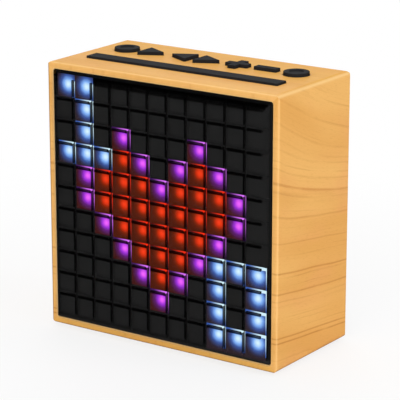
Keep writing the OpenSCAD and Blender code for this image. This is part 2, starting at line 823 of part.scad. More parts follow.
// Inner frame that carries the screen, the boards, the battery and the cover
module chassis() {
    bore = screw_d + 2 * screw_gap;
    small_bore = small_screw_d + 2 * screw_gap;
    color("#2A2A2C") difference() {
        union() {
            translate([0, 0, mid_z]) along_y(chassis_y, cover_y) difference() {
                rounded_rect(slide_w, slide_h, opening_r - sleeve_gap);
                square([inner_w, inner_h], center = true);
            }
            translate([0, 0, mid_z]) along_y(plate_y, plate_back_y)
                square([inner_w, inner_h], center = true);
            translate([0, 0, mid_z]) along_y(cover_y - cover_post_l, cover_y) cover_post_plan();
            main_board_posts(standoff_d, plate_back_y, plate_back_y + standoff_l);
            for (s = [-1, 1]) translate([s * sleeve_screw_x, sleeve_screw_y, floor_z])
                cylinder(d = sleeve_post_d, h = sleeve_post_h);
            for (s = [-1, 1]) translate([s * port_post_x, port_post_y, floor_z])
                cylinder(d = standoff_d, h = port_board_up);
            for (s = [-1, 1]) translate([s * (inner_w - rail_w) / 2,
                    (key_board_front + key_board_back) / 2, key_board_z - rail_t / 2])
                cube([rail_w, key_board_back - key_board_front, rail_t], center = true);
        }
        translate([0, 0, ceiling_z - cut]) linear_extrude(chassis_wall + 2 * cut)
            key_window_plan();
        translate([0, 0, mid_z]) along_y(cover_y - cover_post_l, cover_y + cut)
            four(post_x, post_z) circle(d = bore);
        main_board_posts(small_bore, plate_back_y, plate_back_y + standoff_l + cut);
        for (s = [-1, 1])
            translate([s * sleeve_screw_x, sleeve_screw_y, floor_z - chassis_wall - cut])
                cylinder(d = bore, h = chassis_wall + sleeve_post_h + 2 * cut);
        for (s = [-1, 1]) translate([s * port_post_x, port_post_y, floor_z])
            cylinder(d = small_bore, h = port_board_up + cut);
        for (s = [-1, 1], y = key_screw_y)
            translate([s * key_screw_x, y, key_board_z - rail_t - cut])
                cylinder(d = small_bore, h = rail_t + 2 * cut);
    }
}

// Posts for the cover screws with webs to the walls
module cover_post_plan() {
    reach = cover_post_inset;
    for (x = [-1, 1], z = [-1, 1]) translate([x * post_x, z * post_z]) {
        circle(d = cover_post_d);
        translate([x * reach / 2, 0]) square([reach, cover_post_d], center = true);
        translate([0, z * reach / 2]) square([cover_post_d, reach], center = true);
    }
}

// Posts or bores behind the corners of the main board
module main_board_posts(d, y0, y1) {
    translate([0, 0, mid_z + main_board_up]) along_y(y0, y1)
        four(main_hole_x, main_hole_z) circle(d = d);
}

// Window over the keys in the chassis ceiling
module key_window_plan() {
    reach = key_flange_reach + key_window_room;
    x = max(bar_l / 2, side_keys * key_pitch + round_key_d / 2) + reach;
    y0 = bar_y - bar_w / 2 - reach;
    y1 = key_row_y + max(arrow_w, round_key_d, sign_l) / 2 + reach;
    translate([-x, y0]) square([2 * x, y1 - y0]);
}

// Main board and its parts

// Main board with four screw holes
module main_board() {
    color("#215E3E") translate([0, 0, main_board_z]) along_y(main_board_y, chips_y) difference() {
        rounded_rect(main_board_w, main_board_h, main_board_r);
        four(main_hole_x, main_hole_z) circle(d = small_screw_d + 2 * pass_gap);
    }
}

// Place on the main board at a distance in from the edges on the sides given by signs
function on_board(at, right, up) = [right * (main_board_w / 2 - at.x), up * (main_board_h / 2 - at.y)];

// Chips, capacitors and plugs on the main board
module main_board_chips() {
    color("#2E2E30") translate([0, 0, main_board_z]) {
        along_y(chips_y, chips_y + chip_h) {
            translate(on_board(processor_at, -1, 1)) square(processor_side, center = true);
            translate(on_board(amplifier_at, 1, -1)) square(amplifier_side, center = true);
        }
        along_y(chips_y, chips_y + resistor_w) translate(on_board(resistor_at, -1, -1))
            for (i = [0 : resistor_count - 1]) translate([i * resistor_pitch, 0])
                square([resistor_l, resistor_w], center = true);
        along_y(chips_y, chips_y + capacitor_h) translate(on_board(capacitor_at, 1, 1))
            for (i = [0, 1]) translate([-i * capacitor_pitch, 0]) circle(d = capacitor_d);
        along_y(chips_y, chips_y + plug_depth) for (s = [-1, 1])
            translate([s * plug_pitch / 2, plug_up - main_board_h / 2])
                square([plug_w, plug_h], center = true);
    }
}

// Sheet-metal can over the radio
module shield_can() {
    color("#B9BCC0") translate([0, 0, main_board_z]) difference() {
        along_y(chips_y, chips_y + can_depth) translate(on_board(can_at, -1, 1))
            rounded_rect(can_w, can_h, can_r);
        along_y(chips_y - cut, chips_y + can_depth - can_t) translate(on_board(can_at, -1, 1))
            square([can_w - 2 * can_t, can_h - 2 * can_t], center = true);
    }
}

// Four screws through the main board
module main_board_screws() {
    color("#9A9DA2") translate([0, chips_y, main_board_z]) rotate([-90, 0, 0])
        four(main_hole_x, main_hole_z)
            screw(small_screw_d, board_t + standoff_l - bore_room, small_head_d, small_head_h);
}

// Battery

// Round cell with a raised contact at one end
module battery_cell() {
    color("#3C6FA8") translate([-cell_l / 2, cell_y, cell_z]) rotate([0, 90, 0]) rotate_extrude() {
        square([cell_d / 2 - cell_step, cell_l - contact_h]);
        translate([0, cell_step]) square([cell_d / 2, cell_l - contact_h - 2 * cell_step]);
        square([contact_d / 2, cell_l]);
    }
}

// Open cradle on the chassis floor
module battery_cradle() {
    color("#333336") difference() {
        block(-cradle_l / 2, cell_y - cradle_w / 2, floor_z,
            [cradle_l, cradle_w, cell_z - floor_z]);
        translate([-cell_l / 2 - tab_t, cell_y, cell_z]) rotate([0, 90, 0])
            cylinder(r = cell_d / 2 + cell_gap, h = cell_l + 2 * tab_t);
    }
}

// Metal tabs between the ends of the cell and the cradle
module battery_tabs() {
    color("#C9CBCE") for (s = [-1, 1])
        translate([s * (cell_l + tab_t) / 2, cell_y, cell_z - tab_drop])
            cube([tab_t, tab_side, tab_side], center = true);
}

// Charging socket

// Small board behind the charging socket
module port_board() {
    color("#215E3E") difference() {
        block(-port_board_w / 2, port_board_y, port_board_z,
            [port_board_w, port_board_l, board_t]);
        for (s = [-1, 1]) translate([s * port_post_x, port_post_y, port_board_z - cut])
            cylinder(d = small_screw_d + 2 * pass_gap, h = board_t + 2 * cut);
    }
}

// Screws through the small board
module port_board_screws() {
    color("#9A9DA2") for (s = [-1, 1])
        translate([s * port_post_x, port_post_y, port_board_z + board_t])
            screw(small_screw_d, board_t + port_board_up - bore_room, small_head_d, small_head_h);
}

// Outline of the socket, with two cut lower corners, shrunk by k
function socket_points(k) = let (w = socket_w / 2 - k, low = socket_w / 2 - socket_cut_w - k / 2)
    [[-w, socket_h - k], [-w, socket_cut_h], [-low, k], [low, k], [w, socket_cut_h],
        [w, socket_h - k]];

// Metal shell of the socket
module charge_socket() {
    color("#C4C6C9") translate([0, 0, socket_z])
        along_y(socket_back_y, socket_mouth_y) difference() {
            polygon(socket_points(0));
            polygon(socket_points(socket_sheet));
        }
}

// Plastic core of the socket with its tongue
module charge_socket_core() {
    color("#1B1B1C") translate([0, 0, socket_z]) {
        along_y(socket_back_y, socket_back_y + socket_core_depth)
            polygon(socket_points(socket_sheet + socket_core_gap));
        along_y(socket_back_y, socket_mouth_y - tongue_set)
            translate([0, socket_h - tongue_down]) square([tongue_w, tongue_t], center = true);
    }
}

// Key board and switches

// Board under the keys
module key_board() {
    color("#215E3E") difference() {
        block(-key_board_w / 2, key_board_front, key_board_z,
            [key_board_w, key_board_back - key_board_front, board_t]);
        for (s = [-1, 1], y = key_screw_y) translate([s * key_screw_x, y, key_board_z - cut])
            cylinder(d = small_screw_d + 2 * pass_gap, h = board_t + 2 * cut);
    }
}

// Screws through the key board into the rails
module key_board_screws() {
    color("#9A9DA2") for (s = [-1, 1], y = key_screw_y)
        translate([s * key_screw_x, y, key_board_z + board_t])
            screw(small_screw_d, board_t + rail_t - bore_room, small_head_d, small_head_h);
}

// Nine switch bodies, each with a bore for its plunger
module switch_bodies() {
    bore_depth = plunger_sunk + key_travel + plunger_room;
    color("#3A3A3C") for (p = switch_places)
        translate([p.x, p.y, key_board_z + board_t]) difference() {
            translate([-switch_side / 2, -switch_side / 2, 0])
                cube([switch_side, switch_side, switch_h]);
            translate([0, 0, switch_h - bore_depth])
                cylinder(d = plunger_d + 2 * plunger_gap, h = bore_depth + cut);
        }
}

// Keys and plungers

module power_key() color("#2D2D30") translate([key_x[0], key_row_y]) round_key();
module play_key() color("#2D2D30") translate([key_x[1], key_row_y])
    shaped_key(arrow_right, key_proud);
module previous_key() color("#2D2D30") translate([key_x[2], key_row_y])
    shaped_key(arrow_left, key_proud);
module next_key() color("#2D2D30") translate([key_x[3], key_row_y])
    shaped_key(arrow_right, key_proud);
module volume_up_key() color("#2D2D30") translate([key_x[4], key_row_y])
    shaped_key(plus_sign, key_proud);
module volume_down_key() color("#2D2D30") translate([key_x[5], key_row_y])
    shaped_key(minus_sign, key_proud);
module mode_key() color("#2D2D30") translate([key_x[6], key_row_y]) round_key();
module snooze_bar() color("#2D2D30") translate([0, bar_y]) shaped_key(long_bar, bar_proud);

module key_plunger(i) color("#B0342A") translate([key_x[i], key_row_y]) plunger();
module power_plunger() key_plunger(0);
module play_plunger() key_plunger(1);
module previous_plunger() key_plunger(2);
module next_plunger() key_plunger(3);
module volume_up_plunger() key_plunger(4);
module volume_down_plunger() key_plunger(5);
module mode_plunger() key_plunger(6);
module snooze_plungers() color("#B0342A") for (s = [-1, 1])
    translate([s * bar_switch_x, bar_y]) plunger();

// Rear cover

// Plate of the cover with a bevel round its outside edge
module cover_blank() {
    corner = opening_r - sleeve_gap;
    hull() {
        along_y(cover_y, cover_back_y - cover_bevel)
            rounded_rect(slide_w, slide_h, corner, $fn = 32);
        along_y(cover_y, cover_back_y)
            rounded_rect(slide_w - 2 * cover_bevel, slide_h - 2 * cover_bevel, corner, $fn = 32);
    }
}

// Cover with a stepped opening for the grille and a slot for the socket
module rear_cover() {
    head_sink = screw_head_h + head_sunk;
    recess_w = socket_w + 2 * port_recess_side;
    recess_h = socket_h + 2 * port_recess_side;
    slot_z = socket_z + socket_h / 2;
    color("#29292B") difference() {
        translate([0, 0, mid_z]) cover_blank();
        speaker_turn() {
            translate([0, -cover_t - cut]) square([grille_bore_d / 2, cover_t + 2 * cut]);
            translate([0, -cover_t - cut])
                square([grille_d / 2 + grille_gap, cut + grille_t + grille_gap]);
        }
        translate([0, 0, mid_z]) along_y(cover_y - cut, cover_back_y + cut)
            four(post_x, post_z) circle(d = screw_d + 2 * pass_gap);
        translate([0, 0, mid_z]) along_y(cover_back_y - head_sink, cover_back_y + cut)
            four(post_x, post_z) circle(d = screw_head_d + 2 * pass_gap);
        translate([0, 0, slot_z]) along_y(cover_y - cut, cover_back_y + cut)
            rounded_rect(socket_w + 2 * socket_gap, socket_h + 2 * socket_gap, port_slot_r);
        translate([0, 0, slot_z]) along_y(cover_y + port_recess_floor, cover_back_y + cut)
            rounded_rect(recess_w, recess_h, port_recess_r);
        speaker_screw_places() translate([0, 0, -speaker_screw_l])
            cylinder(d = small_screw_d + 2 * screw_gap, h = speaker_screw_l);
    }
}

// Four screws in the corners of the cover
module rear_cover_screws() {
    color("#6F7277") translate([0, cover_back_y - screw_head_h - head_sunk, mid_z]) rotate([-90, 0, 0])
        four(post_x, post_z)
            screw(screw_d, cover_screw_l, screw_head_d, screw_head_h);
}

// Perforated grille, with its holes in rings of six, twelve, eighteen and so on
module speaker_grille() {
    rings = floor((grille_bore_d / 2 - grille_hole_d / 2 - grille_rim) / grille_hole_pitch);
    color("#3B3B3D") speaker_at() along_depth(grille_t - cover_t, -cover_t) difference() {
        circle(d = grille_d, $fn = 96);
        circle(d = grille_hole_d, $fn = 24);
        for (n = [1 : rings], k = [0 : 6 * n - 1])
            rotate(k * 60 / n) translate([n * grille_hole_pitch, 0])
                circle(d = grille_hole_d, $fn = 24);
    }
}

// Loudspeaker

// Frame at the loudspeaker's axis with depth along +Z, away from the cover
module speaker_at() {
    translate([0, cover_y, speaker_z]) rotate([90, 0, 0]) children();
}

// Outline stretched between two depths
module along_depth(a, b) {
    translate([0, 0, min(a, b)]) linear_extrude(abs(b - a)) children();
}

// Frames of the four loudspeaker screws, their heads on the rim
module speaker_screw_places() {
    speaker_at() for (a = [45 : 90 : 315])
        rotate(a) translate([speaker_screw_r, 0, rim_depth]) children();
}

// Foam ring between the loudspeaker and the cover
module speaker_gasket() {
    color("#3E3E40") speaker_at() along_depth(0, gasket_t) difference() {
        circle(d = basket_d, $fn = 96);
        circle(d = grille_bore_d, $fn = 96);
        for (a = [45 : 90 : 315]) rotate(a) translate([speaker_screw_r, 0])
            circle(d = small_screw_d + 2 * pass_gap);
    }
}

// Pressed basket with windows
module speaker_basket() {
    seat_r = magnet_d / 2;
    wall_r = basket_inner_r;
    floor_r = coil_d / 2 + magnet_room;
    color("#55585C") speaker_at() difference() {
        rotate_extrude($fn = 96) {
            translate([wall_r, gasket_t]) square([basket_d / 2 - wall_r, basket_rim_t]);
            polygon([[wall_r, rim_depth], [wall_r, gasket_t],
                [wall_r + basket_sheet, gasket_t], [wall_r + basket_sheet, rim_depth],
                [seat_r, basket_end], [floor_r, basket_end],
                [floor_r, basket_end - basket_sheet],
                [seat_r - basket_sheet, basket_end - basket_sheet]]);
        }
        for (k = [0 : basket_windows - 1]) rotate((k + 0.5) * 360 / basket_windows)
            translate([seat_r, -basket_window_w / 2, rim_depth + basket_window_edge])
                cube([basket_d, basket_window_w,
                    basket_depth - basket_sheet - 2 * basket_window_edge]);
        for (a = [45 : 90 : 315]) rotate(a) translate([speaker_screw_r, 0, gasket_t - cut])
            cylinder(d = small_screw_d + 2 * pass_gap, h = basket_rim_t + 2 * cut);
    }
}

// Rubber roll round the cone
module speaker_surround() {
    outer = basket_inner_r - roll_gap;
    roll_r = (outer - cone_d / 2) / 2;
    roll_mid = (outer + cone_d / 2) / 2;
    color("#1E1E20") speaker_at() rotate_extrude($fn = 96) translate([roll_mid, cone_start])
        difference() {
            circle(roll_r);
            circle(roll_r - roll_t);
            translate([-roll_r, 0]) square(2 * roll_r);
        }
}

// Paper cone
module speaker_cone() {
    throat = coil_d / 2;
    color("#3A3A3A") speaker_at() rotate_extrude($fn = 96)
        polygon([[cone_d / 2, cone_start], [cone_d / 2, cone_start + cone_t],
            [throat + cone_t, cone_end + cone_t], [throat, cone_end + cone_t], [throat, cone_end]]);
}

// Domed cap in the middle of the cone
module speaker_dust_cap() {
    cap_r = coil_d / 2 + cap_lap;
    dome_r = (cap_r * cap_r + cap_rise * cap_rise) / (2 * cap_rise);
    seat = cone_end - cap_lap * cone_depth / (cone_d / 2 - coil_d / 2);
    color("#222224") speaker_at() rotate_extrude($fn = 96) intersection() {
        difference() {
            translate([0, seat - cap_rise + dome_r]) circle(dome_r, $fn = 128);
            translate([0, seat - cap_rise + dome_r]) circle(dome_r - cap_t, $fn = 128);
        }
        translate([0, seat - cap_rise - cut]) square([cap_r, cap_rise + cut - cap_gap]);
    }
}

// Corrugated disc that centres the coil, with its rim on the basket's floor
module speaker_spider() {
    inner = coil_d / 2 + coil_t / 2;
    outer = magnet_d / 2 - basket_sheet - spider_edge;
    steps = 8 * spider_waves;
    top = basket_end - basket_sheet;
    function wave(i) = [inner + (outer - inner) * i / steps,
        top - spider_wave * (1 - cos(360 * i * spider_waves / steps)) / 2];
    edge = [for (i = [0 : steps]) wave(i)];
    back = [for (i = [steps : -1 : 0]) wave(i) - [0, spider_t]];
    color("#C79A56") speaker_at() rotate_extrude($fn = 96) polygon(concat(edge, back));
}

// Voice coil on its former
module voice_coil() {
    color("#B87333") speaker_at() rotate_extrude($fn = 96)
        translate([coil_d / 2 - coil_t / 2, cone_end + cone_t])
            square([coil_t, magnet_depth - cone_end - cone_t]);
}

// Steel ring in front of the magnet
module magnet_front_plate() {
    color("#9CA0A5") speaker_at() along_depth(basket_end, magnet_depth) difference() {
        circle(d = magnet_d, $fn = 96);
        circle(d = coil_d + 2 * iron_gap, $fn = 96);
    }
}

// Ring magnet
module speaker_magnet() {
    color("#4A4D52") speaker_at() along_depth(magnet_depth, yoke_depth) difference() {
        circle(d = magnet_d, $fn = 96);
        circle(d = coil_d + 2 * magnet_room, $fn = 96);
    }
}

// Steel back plate with its pole
module magnet_yoke() {
    color("#A5A8AD") speaker_at() rotate_extrude($fn = 96) {
        translate([0, yoke_depth]) square([magnet_d / 2, magnet_plate_t]);
        translate([0, basket_end]) square([coil_d / 2 - iron_gap, yoke_depth - basket_end]);
    }
}

// Four screws through the loudspeaker's rim into the cover
module speaker_screws() {
    color("#9A9DA2") speaker_screw_places()
        screw(small_screw_d, speaker_screw_l - bore_room, small_head_d, small_head_h);
}

wood_sleeve();
rubber_feet();
sleeve_screws();
chassis();
screen();
pixel_mask();
diffuser_sheet();
pixel_reflector();
pixel_lights();
pixel_board();
main_board();
main_board_chips();
shield_can();
main_board_screws();
battery_cell();
battery_cradle();
battery_tabs();
port_board();
port_board_screws();
charge_socket();
charge_socket_core();
key_board();
key_board_screws();
switch_bodies();
rear_cover();
rear_cover_screws();
speaker_grille();
speaker_gasket();
speaker_basket();
speaker_surround();
speaker_cone();
speaker_dust_cap();
speaker_spider();
voice_coil();
magnet_front_plate();
speaker_magnet();
magnet_yoke();
speaker_screws();
power_key();
play_key();
previous_key();
next_key();
volume_up_key();
volume_down_key();
mode_key();
snooze_bar();
power_plunger();
play_plunger();
previous_plunger();
next_plunger();
volume_up_plunger();
volume_down_plunger();
mode_plunger();
snooze_plungers();
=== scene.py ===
"""Looks of a speaker alarm clock: a wood-finish sleeve, a smoked pixel screen and rubber keys.

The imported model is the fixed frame. Every piece is in metres in that frame: +Z is up, the screen
faces -Y and the origin lies under the middle of the feet. Shader sizes are in millimetres.
"""

from __future__ import annotations

import json
import logging
import math
from dataclasses import dataclass
from enum import Enum
from itertools import product
from typing import Any, Iterator, Mapping, Optional, Sequence, Union

import bmesh
import bpy
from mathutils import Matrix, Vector

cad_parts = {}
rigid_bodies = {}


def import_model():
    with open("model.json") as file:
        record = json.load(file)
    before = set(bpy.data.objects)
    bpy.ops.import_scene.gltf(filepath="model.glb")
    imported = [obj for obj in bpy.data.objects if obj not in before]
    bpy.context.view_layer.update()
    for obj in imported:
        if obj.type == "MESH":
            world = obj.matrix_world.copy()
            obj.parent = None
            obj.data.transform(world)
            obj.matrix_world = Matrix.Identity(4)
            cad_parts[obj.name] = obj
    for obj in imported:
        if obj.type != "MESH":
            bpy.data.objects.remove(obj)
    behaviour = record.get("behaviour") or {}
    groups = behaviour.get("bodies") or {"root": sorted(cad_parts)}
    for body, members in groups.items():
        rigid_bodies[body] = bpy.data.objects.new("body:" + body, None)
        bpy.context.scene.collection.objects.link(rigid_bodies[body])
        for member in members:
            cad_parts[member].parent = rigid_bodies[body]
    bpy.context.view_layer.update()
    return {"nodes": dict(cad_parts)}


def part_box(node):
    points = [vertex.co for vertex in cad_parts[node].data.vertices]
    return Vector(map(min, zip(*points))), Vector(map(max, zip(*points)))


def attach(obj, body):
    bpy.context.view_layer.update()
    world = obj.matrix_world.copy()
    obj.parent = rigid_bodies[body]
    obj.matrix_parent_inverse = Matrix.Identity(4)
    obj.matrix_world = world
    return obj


LOG = logging.getLogger("alarm_clock")
MM = 0.001
MM_PER_METRE = 1000
ROOT_BODY = "case"
# Softness in millimetres of the mitre at the top right corner of the screen, where the painted shade band
# along the top ends
MITRE_SOFT = 0.15

Colour = tuple[float, float, float]
Span = tuple[float, float]
Nodes = Mapping[str, bpy.types.Object]
Slots = tuple[tuple[str, str], ...]

# Ramps that spread noise about 0.5
EVEN_SPREAD: Span = (0.3, 0.7)
WIDE_SPREAD: Span = (0.25, 0.75)

# Octaves of fine noise, and the weight of its finer ones
FINE_DETAIL = 3.0
FINE_WEIGHT = 0.6


def srgb(red: int, green: int, blue: int) -> Colour:
    """Turn a colour written as 0 to 255 into the linear values that shaders take.

    Args:
        red: Red part, 0 to 255.
        green: Green part, 0 to 255.
        blue: Blue part, 0 to 255.

    Returns:
        The linear colour.
    """

    def linear(part: int) -> float:
        """Undo the display curve for one part."""
        share = part / 255
        return share / 12.92 if share <= 0.04045 else ((share + 0.055) / 1.055) ** 2.4

    return linear(red), linear(green), linear(blue)


def lighter(colour: Colour, times: float) -> Colour:
    """Multiply a colour by a number."""
    return tuple(part * times for part in colour)


def add_object(name: str, data: Any) -> bpy.types.Object:
    """Make an object from its data and link it to the scene.

    Args:
        name: The object's name.
        data: Its mesh, light or camera.

    Returns:
        The new object.
    """
    made = bpy.data.objects.new(name, data)
    bpy.context.scene.collection.objects.link(made)
    return made


# Shader maths


class Field:
    """A socket whose value changes over a surface; arithmetic on it adds Math nodes."""

    def __init__(self, bench: "Bench", socket: bpy.types.NodeSocket) -> None:
        """Wrap one output socket of a bench's tree."""
        self.bench = bench
        self.socket = socket

    def math(self, operation: str, *others: "Value", flip: bool = False) -> "Field":
        """Add one Math node.

        Args:
            operation: The Math node's operation.
            others: The other operands.
            flip: Whether this field is the second operand.

        Returns:
            The result as a new field.
        """
        terms: list[Value] = [self, *others]
        if flip:
            terms.reverse()
        return self.bench.add("ShaderNodeMath", {"operation": operation}, dict(enumerate(terms)))

    def __add__(self, other: "Value") -> "Field":
        """Add a value."""
        return self.math("ADD", other)

    def __sub__(self, other: "Value") -> "Field":
        """Subtract a value."""
        return self.math("SUBTRACT", other)

    def __rsub__(self, other: "Value") -> "Field":
        """Subtract from a value."""
        return self.math("SUBTRACT", other, flip=True)

    def __mul__(self, other: "Value") -> "Field":
        """Multiply by a value."""
        return self.math("MULTIPLY", other)

    def __truediv__(self, other: "Value") -> "Field":
        """Divide by a value."""
        return self.math("DIVIDE", other)

    def __rtruediv__(self, other: "Value") -> "Field":
        """Divide a value by this."""
        return self.math("DIVIDE", other, flip=True)

    def __pow__(self, other: "Value") -> "Field":
        """Raise to a power."""
        return self.math("POWER", other)

    def __abs__(self) -> "Field":
        """Take the absolute value."""
        return self.math("ABSOLUTE")

    __radd__ = __add__
    __rmul__ = __mul__

    def above(self, edge: "Value") -> "Field":
        """Give 1 where this is above an edge, else 0."""
        return self.math("GREATER_THAN", edge)

    def below(self, edge: "Value") -> "Field":
        """Give 1 where this is below an edge, else 0."""
        return self.math("LESS_THAN", edge)

    def ramp(self, low: float, high: float) -> "Field":
        """Rise smoothly from 0 at low to 1 at high.

        Args:
            low: Where the rise starts.
            high: Where it ends; it may be the smaller of the two.

        Returns:
            The eased field.
        """
        limits = {"From Min": low, "From Max": high, "Value": self}
        return self.bench.add("ShaderNodeMapRange", {"interpolation_type": "SMOOTHSTEP"}, limits)


Value = Union[Field, float, int]


class Bench:
    """The node tree of one material or world, with one method that makes any node."""

    def __init__(self, tree: bpy.types.NodeTree) -> None:
        """Start from an empty tree."""
        self.tree = tree
        tree.nodes.clear()

    def node(
        self,
        kind: str,
        settings: Optional[Mapping[str, Any]] = None,
        sockets: Optional[Mapping[Union[str, int], Any]] = None,
    ) -> bpy.types.Node:
        """Make one node.

        Args:
            kind: The node's type.
            settings: Settings by name, set first; "stops" gives a colour ramp's stops.
            sockets: Values or links by socket name, identifier or index.

        Returns:
            The node.
        """
        node = self.tree.nodes.new(kind)
        for name, value in (settings or {}).items():
            if name == "stops":
                self._set_stops(node, value)
            else:
                setattr(node, name, value)
        for key, value in (sockets or {}).items():
            socket = self._find(node.inputs, key)
            if isinstance(value, Field):
                self.tree.links.new(value.socket, socket)
            else:
                socket.default_value = self._fit(socket, value)
        return node

    def add(
        self,
        kind: str,
        settings: Optional[Mapping[str, Any]] = None,
        sockets: Optional[Mapping[Union[str, int], Any]] = None,
        output: Union[str, int] = 0,
    ) -> Field:
        """Make one node and take one of its outputs.

        Args:
            kind: The node's type.
            settings: Settings by name.
            sockets: Values or links by socket name, identifier or index.
            output: The output to take.

        Returns:
            That output as a field.
        """
        return Field(self, self._find(self.node(kind, settings, sockets).outputs, output))

    @staticmethod
    def _set_stops(node: bpy.types.Node, stops: Sequence[tuple[float, Colour]]) -> None:
        """Place a colour ramp's stops.

        Args:
            node: The colour ramp's node.
            stops: The stops in order, each a position and a colour.
        """
        elements = node.color_ramp.elements
        while len(elements) < len(stops):
            elements.new(1.0)
        for element, (place, colour) in zip(elements, stops):
            element.position = place
            element.color = (*colour, 1.0)

    @staticmethod
    def _find(sockets: Any, key: Union[str, int]) -> bpy.types.NodeSocket:
        """Find a socket.

        Args:
            sockets: The node's inputs or outputs.
            key: The socket's index, identifier or name.

        Returns:
            The socket.
        """
        if isinstance(key, int):
            return sockets[key]
        for socket in sockets:
            if socket.identifier == key:
                return socket
        return sockets[key]

    @staticmethod
    def _fit(socket: bpy.types.NodeSocket, value: Any) -> Any:
        """Give a colour the fourth part that a colour socket takes."""
        return (*value, 1.0) if socket.type == "RGBA" and len(value) == 3 else value

    def place(self) -> tuple[Field, Field, Field]:
        """Give the point on the piece, in millimetres, as three fields."""
        where = self.add("ShaderNodeTexCoord", output="Object")
        return tuple(part * MM_PER_METRE for part in self.split(where))

    def where(self) -> Field:
        """Give the point on the piece, in millimetres, as a vector."""
        return self.vector(*self.place())

    def split(self, vector: Field) -> tuple[Field, Field, Field]:
        """Split a vector into its three parts."""
        parts = self.node("ShaderNodeSeparateXYZ", sockets={0: vector}).outputs
        return tuple(Field(self, part) for part in parts)

    def vector(self, x: Value, y: Value, z: Value) -> Field:
        """Join three values into a vector."""
        return self.add("ShaderNodeCombineXYZ", sockets={0: x, 1: y, 2: z})

    def ray(self, first: str, *others: str) -> Field:
        """Tell kinds of ray apart.

        Args:
            first: A kind of ray, such as Camera.
            others: More kinds.

        Returns:
            1 for a ray of any of these kinds, else 0.
        """
        path = self.node("ShaderNodeLightPath").outputs
        found = Field(self, path[f"Is {first} Ray"])
        for kind in others:
            found = found.math("MAXIMUM", Field(self, path[f"Is {kind} Ray"]))
        return found

    def noise(self, where: Field, scale: float = 1.0, detail: float = 2.0, rough: float = 0.5) -> Field:
        """Add soft noise about 0.5.

        Args:
            where: The place, already stretched as the pattern needs.
            scale: Cells for each unit of place.
            detail: Octaves of finer noise.
            rough: Weight of the finer octaves.

        Returns:
            The noise.
        """
        wants = {"Vector": where, "Scale": scale, "Detail": detail, "Roughness": rough}
        return self.add("ShaderNodeTexNoise", sockets=wants)

    def mix(self, share: Value, first: Value, second: Value) -> Field:
        """Blend two numbers.

        Args:
            share: Weight of the second number.
            first: First number or field.
            second: Second number or field.

        Returns:
            The blended number.
        """
        return self.add(
            "ShaderNodeMix",
            {"data_type": "FLOAT"},
            {"Factor_Float": share, "A_Float": first, "B_Float": second},
            "Result_Float",
        )

    def blend(self, share: Value, first: Any, second: Any) -> Field:
        """Blend two colours.

        Args:
            share: Weight of the second colour.
            first: First colour or field.
            second: Second colour or field.

        Returns:
            The blended colour.
        """
        return self.add(
            "ShaderNodeMix",
            {"data_type": "RGBA"},
            {"Factor_Float": share, "A_Color": first, "B_Color": second},
            "Result_Color",
        )

    def bump(self, height: Field, depth_mm: float, strength: float) -> Field:
        """Turn a height from 0 to 1 into a bumped normal of the given depth."""
        wants = {"Height": height, "Distance": depth_mm * MM, "Strength": strength}
        return self.add("ShaderNodeBump", sockets=wants, output="Normal")

    def surface(self, **sockets: Any) -> Field:
        """Add a Principled shader; underscores in the names stand for spaces."""
        named = {name.replace("_", " "): value for name, value in sockets.items()}
        return self.add("ShaderNodeBsdfPrincipled", sockets=named)

    def mix_surfaces(self, share: Value, first: Field, second: Field) -> Field:
        """Blend two shaders."""
        return self.add("ShaderNodeMixShader", sockets={0: share, 1: first, 2: second})

    def finish(self, shader: Field, kind: str = "ShaderNodeOutputMaterial") -> None:
        """Link a shader to the output."""
        self.node(kind, sockets={"Surface": shader})


class Finish:
    """A surface finish; a child class fills in paint()."""

    def paint(self, bench: Bench) -> Field:
        """Build the finish's shader on an empty bench."""
        raise NotImplementedError

    def material(self, name: str) -> bpy.types.Material:
        """Make the material.

        Args:
            name: The material's name.

        Returns:
            The new material.
        """
        made = bpy.data.materials.new(name)
        made.use_nodes = True
        bench = Bench(made.node_tree)
        bench.finish(self.paint(bench))
        return made


# Finishes


@dataclass(frozen=True)
class GrainPattern:
    """Noise stretched along the grain, which lies in another layer on the sides than on top."""

    along: float
    across: float
    layer: float
    start: float = 0.0
    detail: float = 2.0
    rough: float = 0.5

    def field(self, bench: Bench, along: Field, across: Field, is_side: Field) -> Field:
        """Lay the noise on the wood.

        Args:
            bench: The material's bench.
            along: Place along the grain.
            across: Place across the grain.
            is_side: 1 on the sides, 0 on top and bottom.

        Returns:
            The noise, about 0.5.
        """
        layer = is_side * self.layer + self.start
        where = bench.vector(along * self.along, across * self.across, layer)
        return bench.noise(where, detail=self.detail, rough=self.rough)


@dataclass(frozen=True)
class Streak:
    """One dark growth line: its place across the grain, its sharp and soft sides and its weight."""

    place: float
    sharp: float
    soft: float
    weight: float


